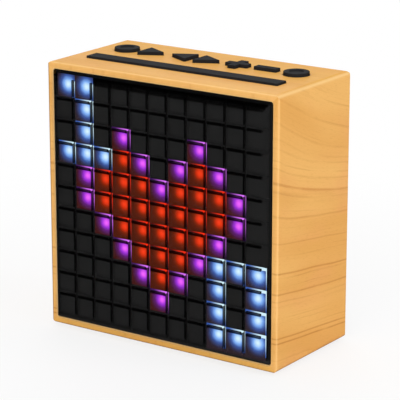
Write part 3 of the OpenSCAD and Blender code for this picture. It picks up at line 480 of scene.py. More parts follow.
@dataclass(frozen=True)
class WoodFinish(Finish):
    """Honey-coloured wood film with growth lines, fine pores and a satin lacquer."""

    half_width: float
    front: float
    back: float
    base: float

    # Colours, and how much of each
    light: Colour = srgb(243, 188, 111)
    deep: Colour = srgb(232, 172, 95)
    line: Colour = srgb(186, 108, 40)
    blush: Colour = srgb(238, 170, 108)
    blush_share: float = 0.5
    gold: Colour = srgb(232, 173, 74)
    gold_share: float = 0.5
    gold_depth: Span = (4.0, 38.0)
    # Painted highlight on the rounded edges and painted shade on the lower and left front edges, and how
    # much of each
    edge_highlight_tone: Colour = srgb(255, 214, 150)
    highlight_share: float = 0.35
    highlight_top_share: float = 0.3
    inner_highlight_share: float = 0.6
    shade_tone: Colour = srgb(120, 76, 34)
    shade_share: float = 0.6
    shade_reach: float = 1.4
    hair_share: float = 0.3
    hair_top: float = 0.2
    pore_share: float = 0.17

    # Lacquer
    rough: Span = (0.36, 0.5)
    relief: float = 0.03
    relief_strength: float = 0.3
    specular: float = 0.004

    # Noise of the grain, and the ramps that read it
    drift: GrainPattern = GrainPattern(0.035, 0.06, 4.0, detail=1.0)
    tone: GrainPattern = GrainPattern(0.012, 0.06, 9.0)
    flush: GrainPattern = GrainPattern(0.03, 0.05, 7.0, start=3.0)
    hairs: GrainPattern = GrainPattern(0.018, 1.3, 5.0, detail=FINE_DETAIL, rough=0.65)
    pores: GrainPattern = GrainPattern(0.4, 3.2, 3.0, rough=FINE_WEIGHT)
    breaks: GrainPattern = GrainPattern(0.06, 0.4, 0.0, start=4.0)
    flush_span: Span = (0.45, 0.75)
    hair_span: Span = (0.54, 0.82)
    pore_span: Span = (0.52, 0.74)
    bold_span: Span = (0.12, 0.5)
    faint_span: Span = (0.35, 0.6)

    # Painted highlight and painted shade on the rounded edges, found by the parts of the normal
    round_span: Span = (0.05, 0.26)
    inward_limit: float = -5.0
    highlight_side_span: Span = (-0.25, -0.05)
    highlight_top_span: Span = (0.1, 0.4)
    shade_round_span: Span = (-0.15, -0.4)
    shade_left_span: Span = (-0.05, -0.35)
    shade_under_span: Span = (-0.25, -0.6)

    # Course of the grain on each face
    corner_soft: float = 0.15
    left_shift: float = 7.0
    top_skew: float = 0.03
    under_shift: float = 30.0
    drift_rise: float = 2.2
    slope: float = 0.095
    slope_rise: float = 0.0012
    bend_height: float = 45.0
    bend_span: float = 30.0
    bend_rise: float = 0.0075
    bend_curve: float = 0.5

    # Growth lines, from the foot of the side up
    span: float = 120.0
    bold: tuple[Streak, ...] = (
        Streak(10.8, 0.3, 0.22, 0.66),
        Streak(12.7, 0.34, 0.22, 0.64),
        Streak(25.7, 0.2, 0.2, 0.32),
        Streak(28.6, 0.3, 0.2, 0.5),
        Streak(35.7, 0.4, 0.22, 0.64),
        Streak(46.5, 0.3, 0.22, 0.4),
        Streak(56.2, 0.7, 0.35, 0.36),
        Streak(64.6, 0.5, 0.3, 0.2),
        Streak(67.8, 0.8, 0.35, 0.6),
        Streak(73.2, 0.4, 0.25, 0.32),
    )
    faint: tuple[Streak, ...] = (
        Streak(4.6, 0.3, 0.6, 0.22),
        Streak(23.6, 0.2, 0.5, 0.26),
        Streak(34.0, 0.2, 0.5, 0.3),
        Streak(67.2, 8.0, 0.6, 0.16),
        Streak(76.0, 0.4, 0.3, 0.3),
        Streak(80.4, 0.5, 0.35, 0.3),
        Streak(83.2, 0.5, 0.3, 0.26),
        Streak(88.0, 0.6, 0.4, 0.26),
        Streak(97.0, 0.7, 0.5, 0.26),
        Streak(105.0, 0.7, 0.5, 0.26),
    )

    def grain_place(self, bench: Bench) -> tuple[Field, Field, Field]:
        """Lay the grain on each face.

        Args:
            bench: The material's bench.

        Returns:
            Place along the grain, place across it, and 1 on the sides or 0 on top and bottom.
        """
        x, y, z = bench.place()
        depth = y - self.front
        height = z - self.base
        is_side = (abs(x) - abs(height - self.half_width)).ramp(-self.corner_soft, self.corner_soft)
        over = (height - self.bend_height).math("MAXIMUM", 0.0).math("MINIMUM", self.bend_span)
        curve = (1 - depth / (self.back - self.front)) * self.bend_curve + 1
        bend = over * curve * self.bend_rise
        side_across = height + depth * (height * self.slope_rise + bend + self.slope)
        side_across = side_across + x.below(0) * self.left_shift
        top_across = depth + x * self.top_skew + height.below(self.half_width) * self.under_shift
        along = bench.mix(is_side, x, depth)
        across = bench.mix(is_side, top_across, side_across)
        drift = self.drift.field(bench, along, across, is_side) - 0.5
        return along, across + drift * self.drift_rise, is_side

    def edges(self, bench: Bench) -> tuple[Field, Field]:
        """Find the rounded edges, which are not alike above, below and round the screen.

        Args:
            bench: The material's bench.

        Returns:
            How far the edges take a painted highlight, most round the top and the screen, and how far they
            take painted shade, below and at the left of the front.
        """
        x, y, z = bench.place()
        normal = bench.split(bench.add("ShaderNodeTexCoord", output="Normal"))
        most = abs(normal[0]).math("MAXIMUM", abs(normal[1])).math("MAXIMUM", abs(normal[2]))
        rounded = (1 - most).ramp(*self.round_span)
        outward = normal[0] * x + normal[2] * (z - self.base - self.half_width)
        inward = outward.below(self.inward_limit)
        # Painted highlight: paler on rounded edges that do not face down, more on top and round the screen
        painted_highlight = normal[2].ramp(*self.highlight_side_span) * self.highlight_share
        painted_highlight = painted_highlight + normal[2].ramp(*self.highlight_top_span) * self.highlight_top_share
        painted_highlight = bench.mix(inward, painted_highlight, self.inner_highlight_share)
        # Painted shade: darker on rounded edges that face down, and on left- and down-facing faces near the
        # front
        front = y.ramp(self.front + self.shade_reach, self.front + self.shade_reach / 2)
        turned = normal[0].ramp(*self.shade_left_span).math("MAXIMUM", normal[2].ramp(*self.shade_under_span))
        painted_shade = (rounded * normal[2].ramp(*self.shade_round_span)).math("MAXIMUM", front * turned)
        return rounded * painted_highlight, painted_shade * (1 - inward) * self.shade_share

    def streaks(self, bench: Bench, across: Field, lines: Sequence[Streak]) -> Field:
        """Draw growth lines as one ramp across the grain.

        Args:
            bench: The material's bench.
            across: Place across the grain.
            lines: The growth lines, in order and apart from each other.

        Returns:
            How dark the lines make each place.
        """
        stops = []
        for line in lines:
            stops.append((line.place - line.sharp, 0.0))
            stops.append((line.place, line.weight))
            stops.append((line.place + line.soft, 0.0))
        shades = [(place / self.span, (level, level, level)) for place, level in stops]
        shade = bench.add("ShaderNodeValToRGB", {"stops": shades}, {"Fac": across / self.span}, "Color")
        return bench.split(shade)[0]

    def paint(self, bench: Bench) -> Field:
        """Build the wood shader.

        Args:
            bench: The material's bench.

        Returns:
            The shader: grained wood under a satin lacquer, with a painted highlight and painted shade on
                the rounded edges.
        """
        grain = self.grain_place(bench)
        _, across, is_side = grain
        breaks = self.breaks.field(bench, *grain)
        bold = self.streaks(bench, across, self.bold) * breaks.ramp(*self.bold_span)
        faint = self.streaks(bench, across, self.faint) * breaks.ramp(*self.faint_span)
        hairs = self.hairs.field(bench, *grain).ramp(*self.hair_span)
        hairs = hairs * ((1 - is_side) * self.hair_top + self.hair_share)
        pores = self.pores.field(bench, *grain).ramp(*self.pore_span) * self.pore_share
        dark = ((bold + faint) * is_side + hairs + pores).math("MINIMUM", 1.0)
        tone = self.tone.field(bench, *grain).ramp(*EVEN_SPREAD)
        flush = self.flush.field(bench, *grain).ramp(*self.flush_span) * self.blush_share
        golden = across.ramp(*self.gold_depth) * (1 - is_side) * self.gold_share
        ground = bench.blend(tone, self.light, self.deep)
        ground = bench.blend(flush, ground, self.blush)
        grained = bench.blend(dark, bench.blend(golden, ground, self.gold), self.line)
        # The edges' painted highlight and painted shade go over the grain
        painted_highlight, painted_shade = self.edges(bench)
        return bench.surface(
            Base_Color=bench.blend(painted_shade, bench.blend(painted_highlight, grained, self.edge_highlight_tone), self.shade_tone),
            Roughness=bench.mix(dark, *self.rough),
            Normal=bench.bump(1 - dark, self.relief, self.relief_strength),
            Specular_IOR_Level=self.specular,
        )


@dataclass(frozen=True)
class SmokedScreenFinish(Finish):
    """Smoked plastic that lets the lit cells through, with dull black grooves."""

    half_field: float
    middle: float
    face: float
    groove_floor: float
    back: float
    pitch: float
    clear: float = 0.5
    leak: float = 0.05
    # Painted shade: a black band along the top of the field, mitred at the top right corner
    band: float = 2.3
    shade_band_soft: float = 0.6
    upright_half: float = 0.35
    upright_far: float = 0.16
    level_half: float = 0.45
    pause: float = 0.8
    bridge: float = 0.75
    side_window: float = 1.3
    skin: float = 0.02
    back_skin: float = 0.05
    cloud_scale: float = 0.5
    speck_scale: float = 9.0
    lift: float = 1.4
    groove_lift: float = 2.0
    rough: Span = (0.3, 0.42)
    relief: float = 0.002
    relief_strength: float = 0.15
    specular: float = 0.1
    dull_rough: float = 0.95
    smoke: Colour = (0.006, 0.006, 0.006)
    # Painted light: the grey of the bottom bevel, lighter than the face
    foot: Colour = (0.019, 0.019, 0.019)
    # Painted shade: the black of the band along the top
    shade_black: Colour = (0.0012, 0.0012, 0.0012)
    # Painted light on the left bevel, painted shade on the right bevel
    left_bevel_painted_light: Colour = (0.012, 0.012, 0.012)
    right_bevel_painted_shade: Colour = (0.0015, 0.0015, 0.0015)
    # Dull black of the grooves, also the painted shade of the top bevel
    groove: Colour = (0.0005, 0.0005, 0.0005)

    def past_line(self, place: Field) -> Field:
        """Give how far a place lies past the last groove's middle, along one side of the field."""
        return ((place + self.half_field) / self.pitch).math("FRACT") * self.pitch

    def lines(self, x: Field, up: Field, sunk: Field) -> Field:
        """Draw the dull line along the top and the right of each tile.

        Args:
            x: Place across the field.
            up: Place up the field.
            sunk: 1 in the grooves.

        Returns:
            1 in the grooves but where a tile's far edge shows in them, and where two lines join.
        """
        across = self.past_line(x)
        above = self.past_line(up)
        bridged = above.above(self.level_half) * above.below(self.level_half + self.bridge)
        far = across.above(self.upright_far) * across.below(self.upright_half + self.skin)
        on_level = above.below(self.level_half).math("MAXIMUM", above.above(self.pitch - self.level_half))
        joined = on_level * across.above(self.pitch - self.upright_half - self.pause)
        last = self.half_field - self.pitch / 2
        inner = abs(up).below(last) * x.below(last)
        return (sunk * (1 - bridged) * (1 - far)).math("MAXIMUM", joined * inner)

    def paint(self, bench: Bench) -> Field:
        """Build the screen's shader: see-through face, solid sides, dull lines and bevels.

        Args:
            bench: The material's bench.

        Returns:
            The shader: smoked plastic, dull in the lines, with painted shade along the band and the crest,
                painted light along the foot, and painted light on the left bevel and painted shade on the
                right.
        """
        x, y, z = bench.place()
        up = z - self.middle
        under_crest = up.below(x.math("MAXIMUM", self.half_field))
        on_field = abs(x).below(self.half_field) * abs(up).below(self.half_field)
        window = x.above(-self.half_field) * x.below(self.half_field + self.side_window)
        window = window * up.above(-self.half_field) * under_crest
        floor = self.groove_floor + self.skin
        sunk = y.above(self.face + self.skin) * y.below(floor) * on_field
        lines = self.lines(x, up, sunk) * (1 - y.above(floor))
        inside = y.above(self.back - self.back_skin) * on_field
        cloud = bench.noise(bench.where(), self.cloud_scale, FINE_DETAIL)
        speck = bench.noise(bench.where(), self.speck_scale)
        # Painted shade: the band along the top of the field turns black, mitred at the top right
        band = up.ramp(self.half_field - self.band, self.half_field - self.band + self.shade_band_soft)
        band = band * (up - x).ramp(-MITRE_SOFT, MITRE_SOFT)
        tile = bench.blend(cloud, self.smoke, lighter(self.smoke, self.lift))
        tile = bench.blend(band, tile, self.shade_black)
        # Painted shade on the top bevel, the crest, which is dull black
        crest = 1 - under_crest
        # Painted light on the bottom bevel, the foot, which is a lighter grey
        foot = up.below(-self.half_field)
        # Painted light on the left bevel and painted shade on the right bevel
        side_bevel = abs(x).above(self.half_field) * (1 - abs(up).above(self.half_field))
        side = bench.blend(x.above(0), self.left_bevel_painted_light, self.right_bevel_painted_shade)
        edge = bench.blend(side_bevel, self.shade_black, side)
        smoked = bench.surface(
            Base_Color=bench.blend(window, edge, tile),
            Roughness=bench.mix(speck, *self.rough),
            Alpha=(1 - window * self.clear) * (1 - inside),
            Normal=bench.bump(speck, self.relief, self.relief_strength),
            Specular_IOR_Level=self.specular,
        )
        # Dull surface of the grooves, with the painted shade of the crest and the painted light of the foot
        dull = bench.surface(
            Base_Color=bench.blend(
                foot,
                bench.blend(speck, self.groove, lighter(self.groove, self.groove_lift)),
                bench.blend(speck, self.foot, lighter(self.foot, self.lift)),
            ),
            Roughness=self.dull_rough,
            Alpha=bench.mix(crest, bench.mix(foot, 1 - self.leak, 1.0), 1 - self.clear),
            Specular_IOR_Level=0.0,
        )
        return bench.mix_surfaces(lines.math("MAXIMUM", crest).math("MAXIMUM", foot), smoked, dull)


@dataclass(frozen=True)
class LitCellFinish(Finish):
    """Light of one colour: a hot spot in each cell that dies away, and a bright far edge, which is painted
    light for the cell's light caught in the groove and the next tile's edge.
    """

    middle: float
    pitch: float
    hot: Colour
    warm: Colour
    dim: Colour
    rim: Colour
    # Painted light: the bright colours along the far edges of each cell
    painted_bevel_light: Colour
    painted_bevel_light_low: Colour
    spot_reach: float
    lead: Span
    last: int
    level: float = 2.0
    base: Colour = (0.004, 0.004, 0.004)
    rough: float = 0.6
    haze_scale: float = 0.7
    haze_share: float = 0.5
    fade: tuple[float, float, float, float] = (0.0, 0.3, 0.62, 0.95)
    spot: Span = (1.0, 1.35)
    spot_core: float = -0.4
    spot_power: float = 1.5
    # Where the painted light along the far edges lies and how it fades
    edge: Span = (2.6, 3.5)
    last_edge: Span = (4.0, 2.5)
    edge_core: float = 1.6
    edge_reach: float = 7.2

    def within(self, place: Field, lead: float) -> Field:
        """Give the place within a cell's window.

        Args:
            place: Place along one side of the picture, 0 at the middle of a cell.
            lead: How far the plate is moved from the cell, as a share of the pitch.

        Returns:
            Place from the middle of the cell.
        """
        cell = (place / self.pitch + (0.5 - lead)).math("FLOOR")
        cell = cell.math("MINIMUM", self.last).math("MAXIMUM", -self.last)
        return place - cell * self.pitch

    def paint(self, bench: Bench) -> Field:
        """Build the glow from the place within each cell.

        Args:
            bench: The material's bench.

        Returns:
            The shader: the hot spot, with painted light along the far edges over it.
        """
        x, _, z = bench.place()
        across = self.within(x, self.lead[0])
        upward = self.within(z - self.middle, self.lead[1])
        right = across - self.spot[0]
        lift = upward - self.spot[1]
        away = (right * right + lift * lift).math("SQRT")
        haze = bench.noise(bench.vector(x, 0.0, z), self.haze_scale, 1.0) - 0.5
        spot = (away + haze * self.haze_share).ramp(self.spot_reach, self.spot_core) ** self.spot_power
        half = self.pitch / 2
        lead_x, lead_z = (part * self.pitch for part in self.lead)
        short_x = half - across
        short_z = half - upward
        corner = (short_x * short_x + short_z * short_z).math("SQRT")
        start = (self.last - 0.5) * self.pitch
        last_column = x.above(start + lead_x)
        top_row = (z - self.middle).above(start + lead_z)
        over = upward.above(self.edge[1]) * across.above(lead_x - half) * (1 - top_row)
        beside = across.above(bench.mix(last_column, self.edge[0], self.last_edge[0]))
        beside = beside * upward.below(bench.mix(top_row, self.edge[1], self.last_edge[1]))
        beside = beside * upward.above(lead_z - half)
        on_edge = beside.math("MAXIMUM", over)
        # Painted light along the far edges, for the cell's light caught in the groove and the next tile's
        # edge
        painted_bevel_light = bench.blend(corner.ramp(self.edge_reach, self.edge_core), self.painted_bevel_light_low, self.painted_bevel_light)
        stops = list(zip(self.fade, (self.rim, self.dim, self.warm, self.hot)))
        glow = bench.add("ShaderNodeValToRGB", {"stops": stops}, {"Fac": spot}, "Color")
        return bench.surface(
            Base_Color=self.base,
            Emission_Color=bench.blend(on_edge, glow, painted_bevel_light),
            Emission_Strength=self.level,
            Roughness=self.rough,
            Specular_IOR_Level=0.0,
        )


@dataclass(frozen=True)
class DarkCellFinish(Finish):
    """Smoked window of an unlit cell, with painted shade, black, behind the mitred band along the top of
    the screen.
    """

    middle: float
    # Painted shade band along the top: where it starts and how soft it is
    shade_band_foot: float
    shade_band_soft: float = 0.6
    cloud_scale: float = 0.5
    lift: float = 1.3
    rough: Span = (0.6, 0.7)
    grey: Colour = (0.036, 0.036, 0.036)
    # Painted shade: the black of the band
    black: Colour = (0.001, 0.001, 0.001)

    def paint(self, bench: Bench) -> Field:
        """Build the window from a faint cloud and the painted shade band.

        Args:
            bench: The material's bench.

        Returns:
            The shader: a dark, matt window.
        """
        x, _, z = bench.place()
        cloud = bench.noise(bench.where(), self.cloud_scale, FINE_DETAIL)
        window = bench.blend(cloud, self.grey, lighter(self.grey, self.lift))
        # Painted shade: black in the band along the top, mitred at the top right
        band = z.ramp(self.shade_band_foot, self.shade_band_foot + self.shade_band_soft)
        band = band * (z - self.middle - x).ramp(-MITRE_SOFT, MITRE_SOFT)
        return bench.surface(
            Base_Color=bench.blend(band, window, self.black),
            Roughness=bench.mix(cloud, *self.rough),
            Specular_IOR_Level=0.0,
        )


@dataclass(frozen=True)
class GrainedFinish(Finish):
    """Plain matter with a fine grain: moulded plastic, rubber, foam, paper, ferrite or cast metal."""

    main: Colour
    second: Colour
    grain: float = 0.35
    cloud: float = 6.0
    rough: Span = (0.45, 0.6)
    relief: float = 0.01
    relief_strength: float = 0.4
    metallic: float = 0.0
    specular: float = 0.5
    coat: float = 0.0
    sheen: float = 0.0

    def paint(self, bench: Bench) -> Field:
        """Build the shader from two scales of noise: cloud and grain sizes in millimetres.

        Args:
            bench: The material's bench.

        Returns:
            The shader: the two colours in clouds, with the grain in the roughness and the normal.
        """
        where = bench.where()
        cloud = bench.noise(where, 1 / self.cloud, FINE_DETAIL)
        grain = bench.noise(where, 1 / self.grain, FINE_DETAIL, FINE_WEIGHT)
        share = (cloud + grain) / 2
        return bench.surface(
            Base_Color=bench.blend(share.ramp(*EVEN_SPREAD), self.main, self.second),
            Roughness=bench.mix(grain.ramp(*WIDE_SPREAD), *self.rough),
            Metallic=self.metallic,
            Normal=bench.bump(grain, self.relief, self.relief_strength),
            Specular_IOR_Level=self.specular,
            Coat_Weight=self.coat,
            Sheen_Weight=self.sheen,
        )


class Axis(Enum):
    """Direction that a turned or drawn part's marks run round or along."""

    X = 0
    Y = 1
    Z = 2


@dataclass(frozen=True)
class DrawnMetalFinish(Finish):
    """Sheet or turned metal with fine marks across one axis."""

    main: Colour
    second: Colour
    axis: Axis = Axis.Y
    mark: float = 0.12
    stretch: float = 10.0
    cloud_scale: float = 0.3
    rough: Span = (0.24, 0.42)
    relief: float = 0.004
    relief_strength: float = 0.3

    def paint(self, bench: Bench) -> Field:
        """Build the metal with marks that are long across the axis and fine along it.

        Args:
            bench: The material's bench.

        Returns:
            The shader: bare metal with the marks in the roughness and the normal.
        """
        parts = list(bench.place())
        for index, part in enumerate(parts):
            length = self.mark if index == self.axis.value else self.mark * self.stretch
            parts[index] = part / length
        marks = bench.noise(bench.vector(*parts), detail=FINE_DETAIL, rough=FINE_WEIGHT)
        cloud = bench.noise(bench.where(), self.cloud_scale)
        return bench.surface(
            Base_Color=bench.blend(cloud.ramp(*EVEN_SPREAD), self.main, self.second),
            Roughness=bench.mix(marks, *self.rough),
            Metallic=1.0,
            Normal=bench.bump(marks, self.relief, self.relief_strength),
        )


@dataclass(frozen=True)
class BoardFinish(Finish):
    """Green solder mask over faint copper tracks."""

    mask: Colour = srgb(24, 92, 58)
    track: Colour = srgb(52, 122, 72)
    pitch: float = 2.2
    jitter: float = 0.6
    track_start: Span = (0.42, 0.46)
    track_end: Span = (0.58, 0.54)
    weave_scale: float = 3.0
    rough: Span = (0.3, 0.42)
    relief: float = 0.03
    relief_strength: float = 0.5

    def paint(self, bench: Bench) -> Field:
        """Build the board: tracks on a square pitch, broken up by cell noise.

        Args:
            bench: The material's bench.

        Returns:
            The shader: solder mask with the tracks raised in it.
        """
        cells = bench.vector(*(part / self.pitch for part in bench.place()))
        crack = bench.add(
            "ShaderNodeTexVoronoi",
            {"distance": "CHEBYCHEV", "feature": "F1"},
            {"Vector": cells, "Randomness": self.jitter},
            "Distance",
        )
        tracks = crack.ramp(*self.track_start) * crack.ramp(*self.track_end)
        weave = bench.noise(bench.where(), self.weave_scale)
        return bench.surface(
            Base_Color=bench.blend(tracks, self.mask, self.track),
            Roughness=bench.mix(weave, *self.rough),
            Normal=bench.bump(tracks, self.relief, self.relief_strength),
        )


@dataclass(frozen=True)
class WoundFinish(Finish):
    """Fine turns side by side along one axis, such as a coil's wire or a cloth's weave."""

    main: Colour
    valley: Colour
    axis: Axis = Axis.Y
    turn: float = 0.25
    metallic: float = 1.0
    rough: Span = (0.5, 0.3)
    relief: float = 0.04
    relief_strength: float = 0.6

    def paint(self, bench: Bench) -> Field:
        """Build the turns as a wave along the axis.

        Args:
            bench: The material's bench.

        Returns:
            The shader: bright turns with dark valleys.
        """
        along = bench.place()[self.axis.value]
        wave = (along * (2 * math.pi / self.turn)).math("SINE") * 0.5 + 0.5
        return bench.surface(
            Base_Color=bench.blend(wave, self.valley, self.main),
            Roughness=bench.mix(wave, *self.rough),
            Metallic=self.metallic,
            Normal=bench.bump(wave, self.relief, self.relief_strength),
        )


class Stock:
    """The finishes that several sub-assemblies share, each made once."""

    FINISHES: dict[str, Finish] = {
        "key_rubber": GrainedFinish(
            srgb(36, 36, 38), srgb(45, 45, 47), 0.16, 5.0, (0.6, 0.75), 0.012, 0.5, specular=0.01
        ),
        "foot_rubber": GrainedFinish(srgb(30, 30, 32), srgb(40, 40, 41), 0.3, 4.0, (0.7, 0.85), 0.03),
        "cover_plastic": GrainedFinish(
            srgb(38, 38, 40), srgb(46, 46, 48), 0.3, 14.0, (0.42, 0.6), 0.03, 0.6
        ),
        "inner_plastic": GrainedFinish(srgb(40, 40, 43), srgb(50, 50, 52), 0.5, 12.0, (0.4, 0.55), 0.02),
        "mask_plastic": GrainedFinish((0.003, 0.003, 0.003), (0.005, 0.005, 0.005), specular=0.02),
        "smoked_film": GrainedFinish((0.003, 0.003, 0.003), (0.005, 0.005, 0.005), 0.4, 9.0, specular=0.02),
        "white_plastic": GrainedFinish(srgb(232, 232, 228), srgb(244, 244, 241), 0.4, 8.0),
        "light_body": GrainedFinish(srgb(236, 230, 205), srgb(246, 242, 226), 0.25, 2.0),
        "chip_black": GrainedFinish(srgb(28, 28, 30), srgb(40, 40, 42), 0.12, 3.0, (0.45, 0.6)),
        "cell_wrap": GrainedFinish(
            srgb(38, 92, 160), srgb(46, 106, 178), 0.8, 15.0, (0.22, 0.3), 0.006, coat=0.4
        ),
        "grille_metal": GrainedFinish(
            srgb(44, 44, 46), srgb(56, 56, 58), 0.18, 6.0, (0.4, 0.56), 0.02, 0.6, metallic=0.35
        ),
        "foam_ring": GrainedFinish(srgb(48, 48, 50), srgb(66, 66, 68), 0.25, 3.0, (0.85, 0.95), 0.12, 0.9),
        "basket_metal": GrainedFinish(
            srgb(88, 91, 95), srgb(104, 107, 110), 0.3, 8.0, (0.38, 0.5), 0.01, metallic=0.8
        ),
        "roll_rubber": GrainedFinish(srgb(26, 26, 28), srgb(34, 34, 36), 0.4, 5.0, (0.42, 0.56)),
        "cone_paper": GrainedFinish(
            srgb(46, 46, 47), srgb(72, 71, 70), 0.22, 4.0, (0.75, 0.9), 0.06, 0.8, sheen=0.2
        ),
        "magnet_ferrite": GrainedFinish(srgb(62, 64, 68), srgb(78, 80, 84), 0.2, 4.0, (0.5, 0.7), 0.03),
        "plunger_red": GrainedFinish(srgb(168, 44, 34), srgb(182, 54, 42), 0.3, 3.0, (0.35, 0.5)),
        "screw_dark": DrawnMetalFinish(srgb(70, 72, 76), srgb(92, 94, 98)),
        "screw_steel": DrawnMetalFinish(srgb(168, 171, 176), srgb(190, 192, 196), Axis.Z),
        "tinned_sheet": DrawnMetalFinish(srgb(196, 198, 202), srgb(214, 215, 218)),
        "plate_steel": DrawnMetalFinish(srgb(160, 163, 168), srgb(182, 184, 188)),
        "board_green": BoardFinish(),
        "coil_copper": WoundFinish(srgb(196, 118, 62), srgb(96, 46, 20)),
        "spider_cloth": WoundFinish(srgb(204, 160, 92), srgb(158, 112, 52), Axis.X, 0.6, 0.0),
    }

    def __init__(self) -> None:
        """Start with nothing made."""
        self.made: dict[str, bpy.types.Material] = {}

    def get(self, slot: str) -> bpy.types.Material:
        """Give the material of a slot, made on first use.

        Args:
            slot: The finish's name.

        Returns:
            The material.
        """
        if slot not in self.made:
            self.made[slot] = self.FINISHES[slot].material(slot)
        return self.made[slot]


def dress(node: bpy.types.Object, material: bpy.types.Material) -> None:
    """Give a frame node its finish and report it.

    Args:
        node: The node's object.
        material: The finish that its one slot takes.
    """
    if node.material_slots:
        node.material_slots[0].material = material
    else:
        node.data.materials.append(material)
    LOG.info("%s is dressed in %s", node.name, material.name)


# Sub-assemblies


class PlainGroup:
    """A sub-assembly whose pieces each take one finish of the stock."""

    slots: Slots

    def dress(self, nodes: Nodes, stock: Stock) -> None:
        """Put each piece's finish on it."""
        for node, slot in self.slots:
            dress(nodes[node], stock.get(slot))


@dataclass
class Sleeve(PlainGroup):
    """The wood-finish sleeve with its feet and screws."""

    slots: Slots = (("rubber_feet", "foot_rubber"), ("sleeve_screws", "screw_steel"))

    def dress(self, nodes: Nodes, stock: Stock) -> None:
        """Put wood on the sleeve and plain finishes on what is under it.

        Args:
            nodes: The frame's nodes by name.
            stock: The shared finishes.
        """
        low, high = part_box("wood_sleeve")
        wood = WoodFinish(
            half_width=(high.x - low.x) / 2 / MM,
            front=low.y / MM,
            back=high.y / MM,
            base=low.z / MM,
        )
        dress(nodes["wood_sleeve"], wood.material("wood_finish"))
        super().dress(nodes, stock)


class Tint(Enum):
    """Colours that the cells of the picture light up in, and the rest of the cells."""

    OUTLINE = "lit_outline"
    CORE = "lit_core"
    DIGIT = "lit_digits"
    UNLIT = "unlit_cells"


@dataclass(frozen=True)
class PixelPicture:
    """A heart with one digit at the upper left and one at the lower right, as tinted cells."""

    side: int = 11
    middle: int = 5
    lobe_row: int = 2
    body_row: int = 4
    tip_row: int = 9
    half_span: int = 4
    lobe_out: int = 2
    glyphs: tuple[tuple[int, int, tuple[str, ...]], ...] = (
        (0, 0, ("##.", ".#.", ".#.", "###")),
        (7, 8, ("###", "#.#", "#.#", "###")),
    )

    def in_heart(self, row: int, column: int) -> bool:
        """Say whether a cell belongs to the heart.

        Args:
            row: Row from the top, from 0.
            column: Column from the left, from 0.

        Returns:
            Whether the cell is in the heart.
        """
        out = abs(column - self.middle)
        if row >= self.body_row:
            return out <= min(self.half_span, self.tip_row - row)
        return row >= self.lobe_row and abs(out - self.lobe_out) <= row - self.lobe_row

    def in_digit(self, row: int, column: int) -> bool:
        """Say whether a cell belongs to a digit.

        Args:
            row: Row from the top, from 0.
            column: Column from the left, from 0.

        Returns:
            Whether the cell is in a digit.
        """
        for top, left, lines in self.glyphs:
            if 0 <= row - top < len(lines) and 0 <= column - left < len(lines[0]):
                return lines[row - top][column - left] == "#"
        return False

    def tint(self, row: int, column: int) -> Tint:
        """Give a cell's tint.

        Args:
            row: Row from the top, from 0.
            column: Column from the left, from 0.

        Returns:
            The tint.
        """
        beside = ((1, 0), (-1, 0), (0, 1), (0, -1))
        if self.in_digit(row, column):
            return Tint.DIGIT
        if not self.in_heart(row, column):
            return Tint.UNLIT
        inner = all(self.in_heart(row + r, column + c) for r, c in beside)
        return Tint.CORE if inner else Tint.OUTLINE

    def cells(self) -> Iterator[tuple[int, int, Tint]]:
        """Yield every cell as its row, its column and its tint."""
        for row, column in product(range(self.side), repeat=2):
            yield row, column, self.tint(row, column)


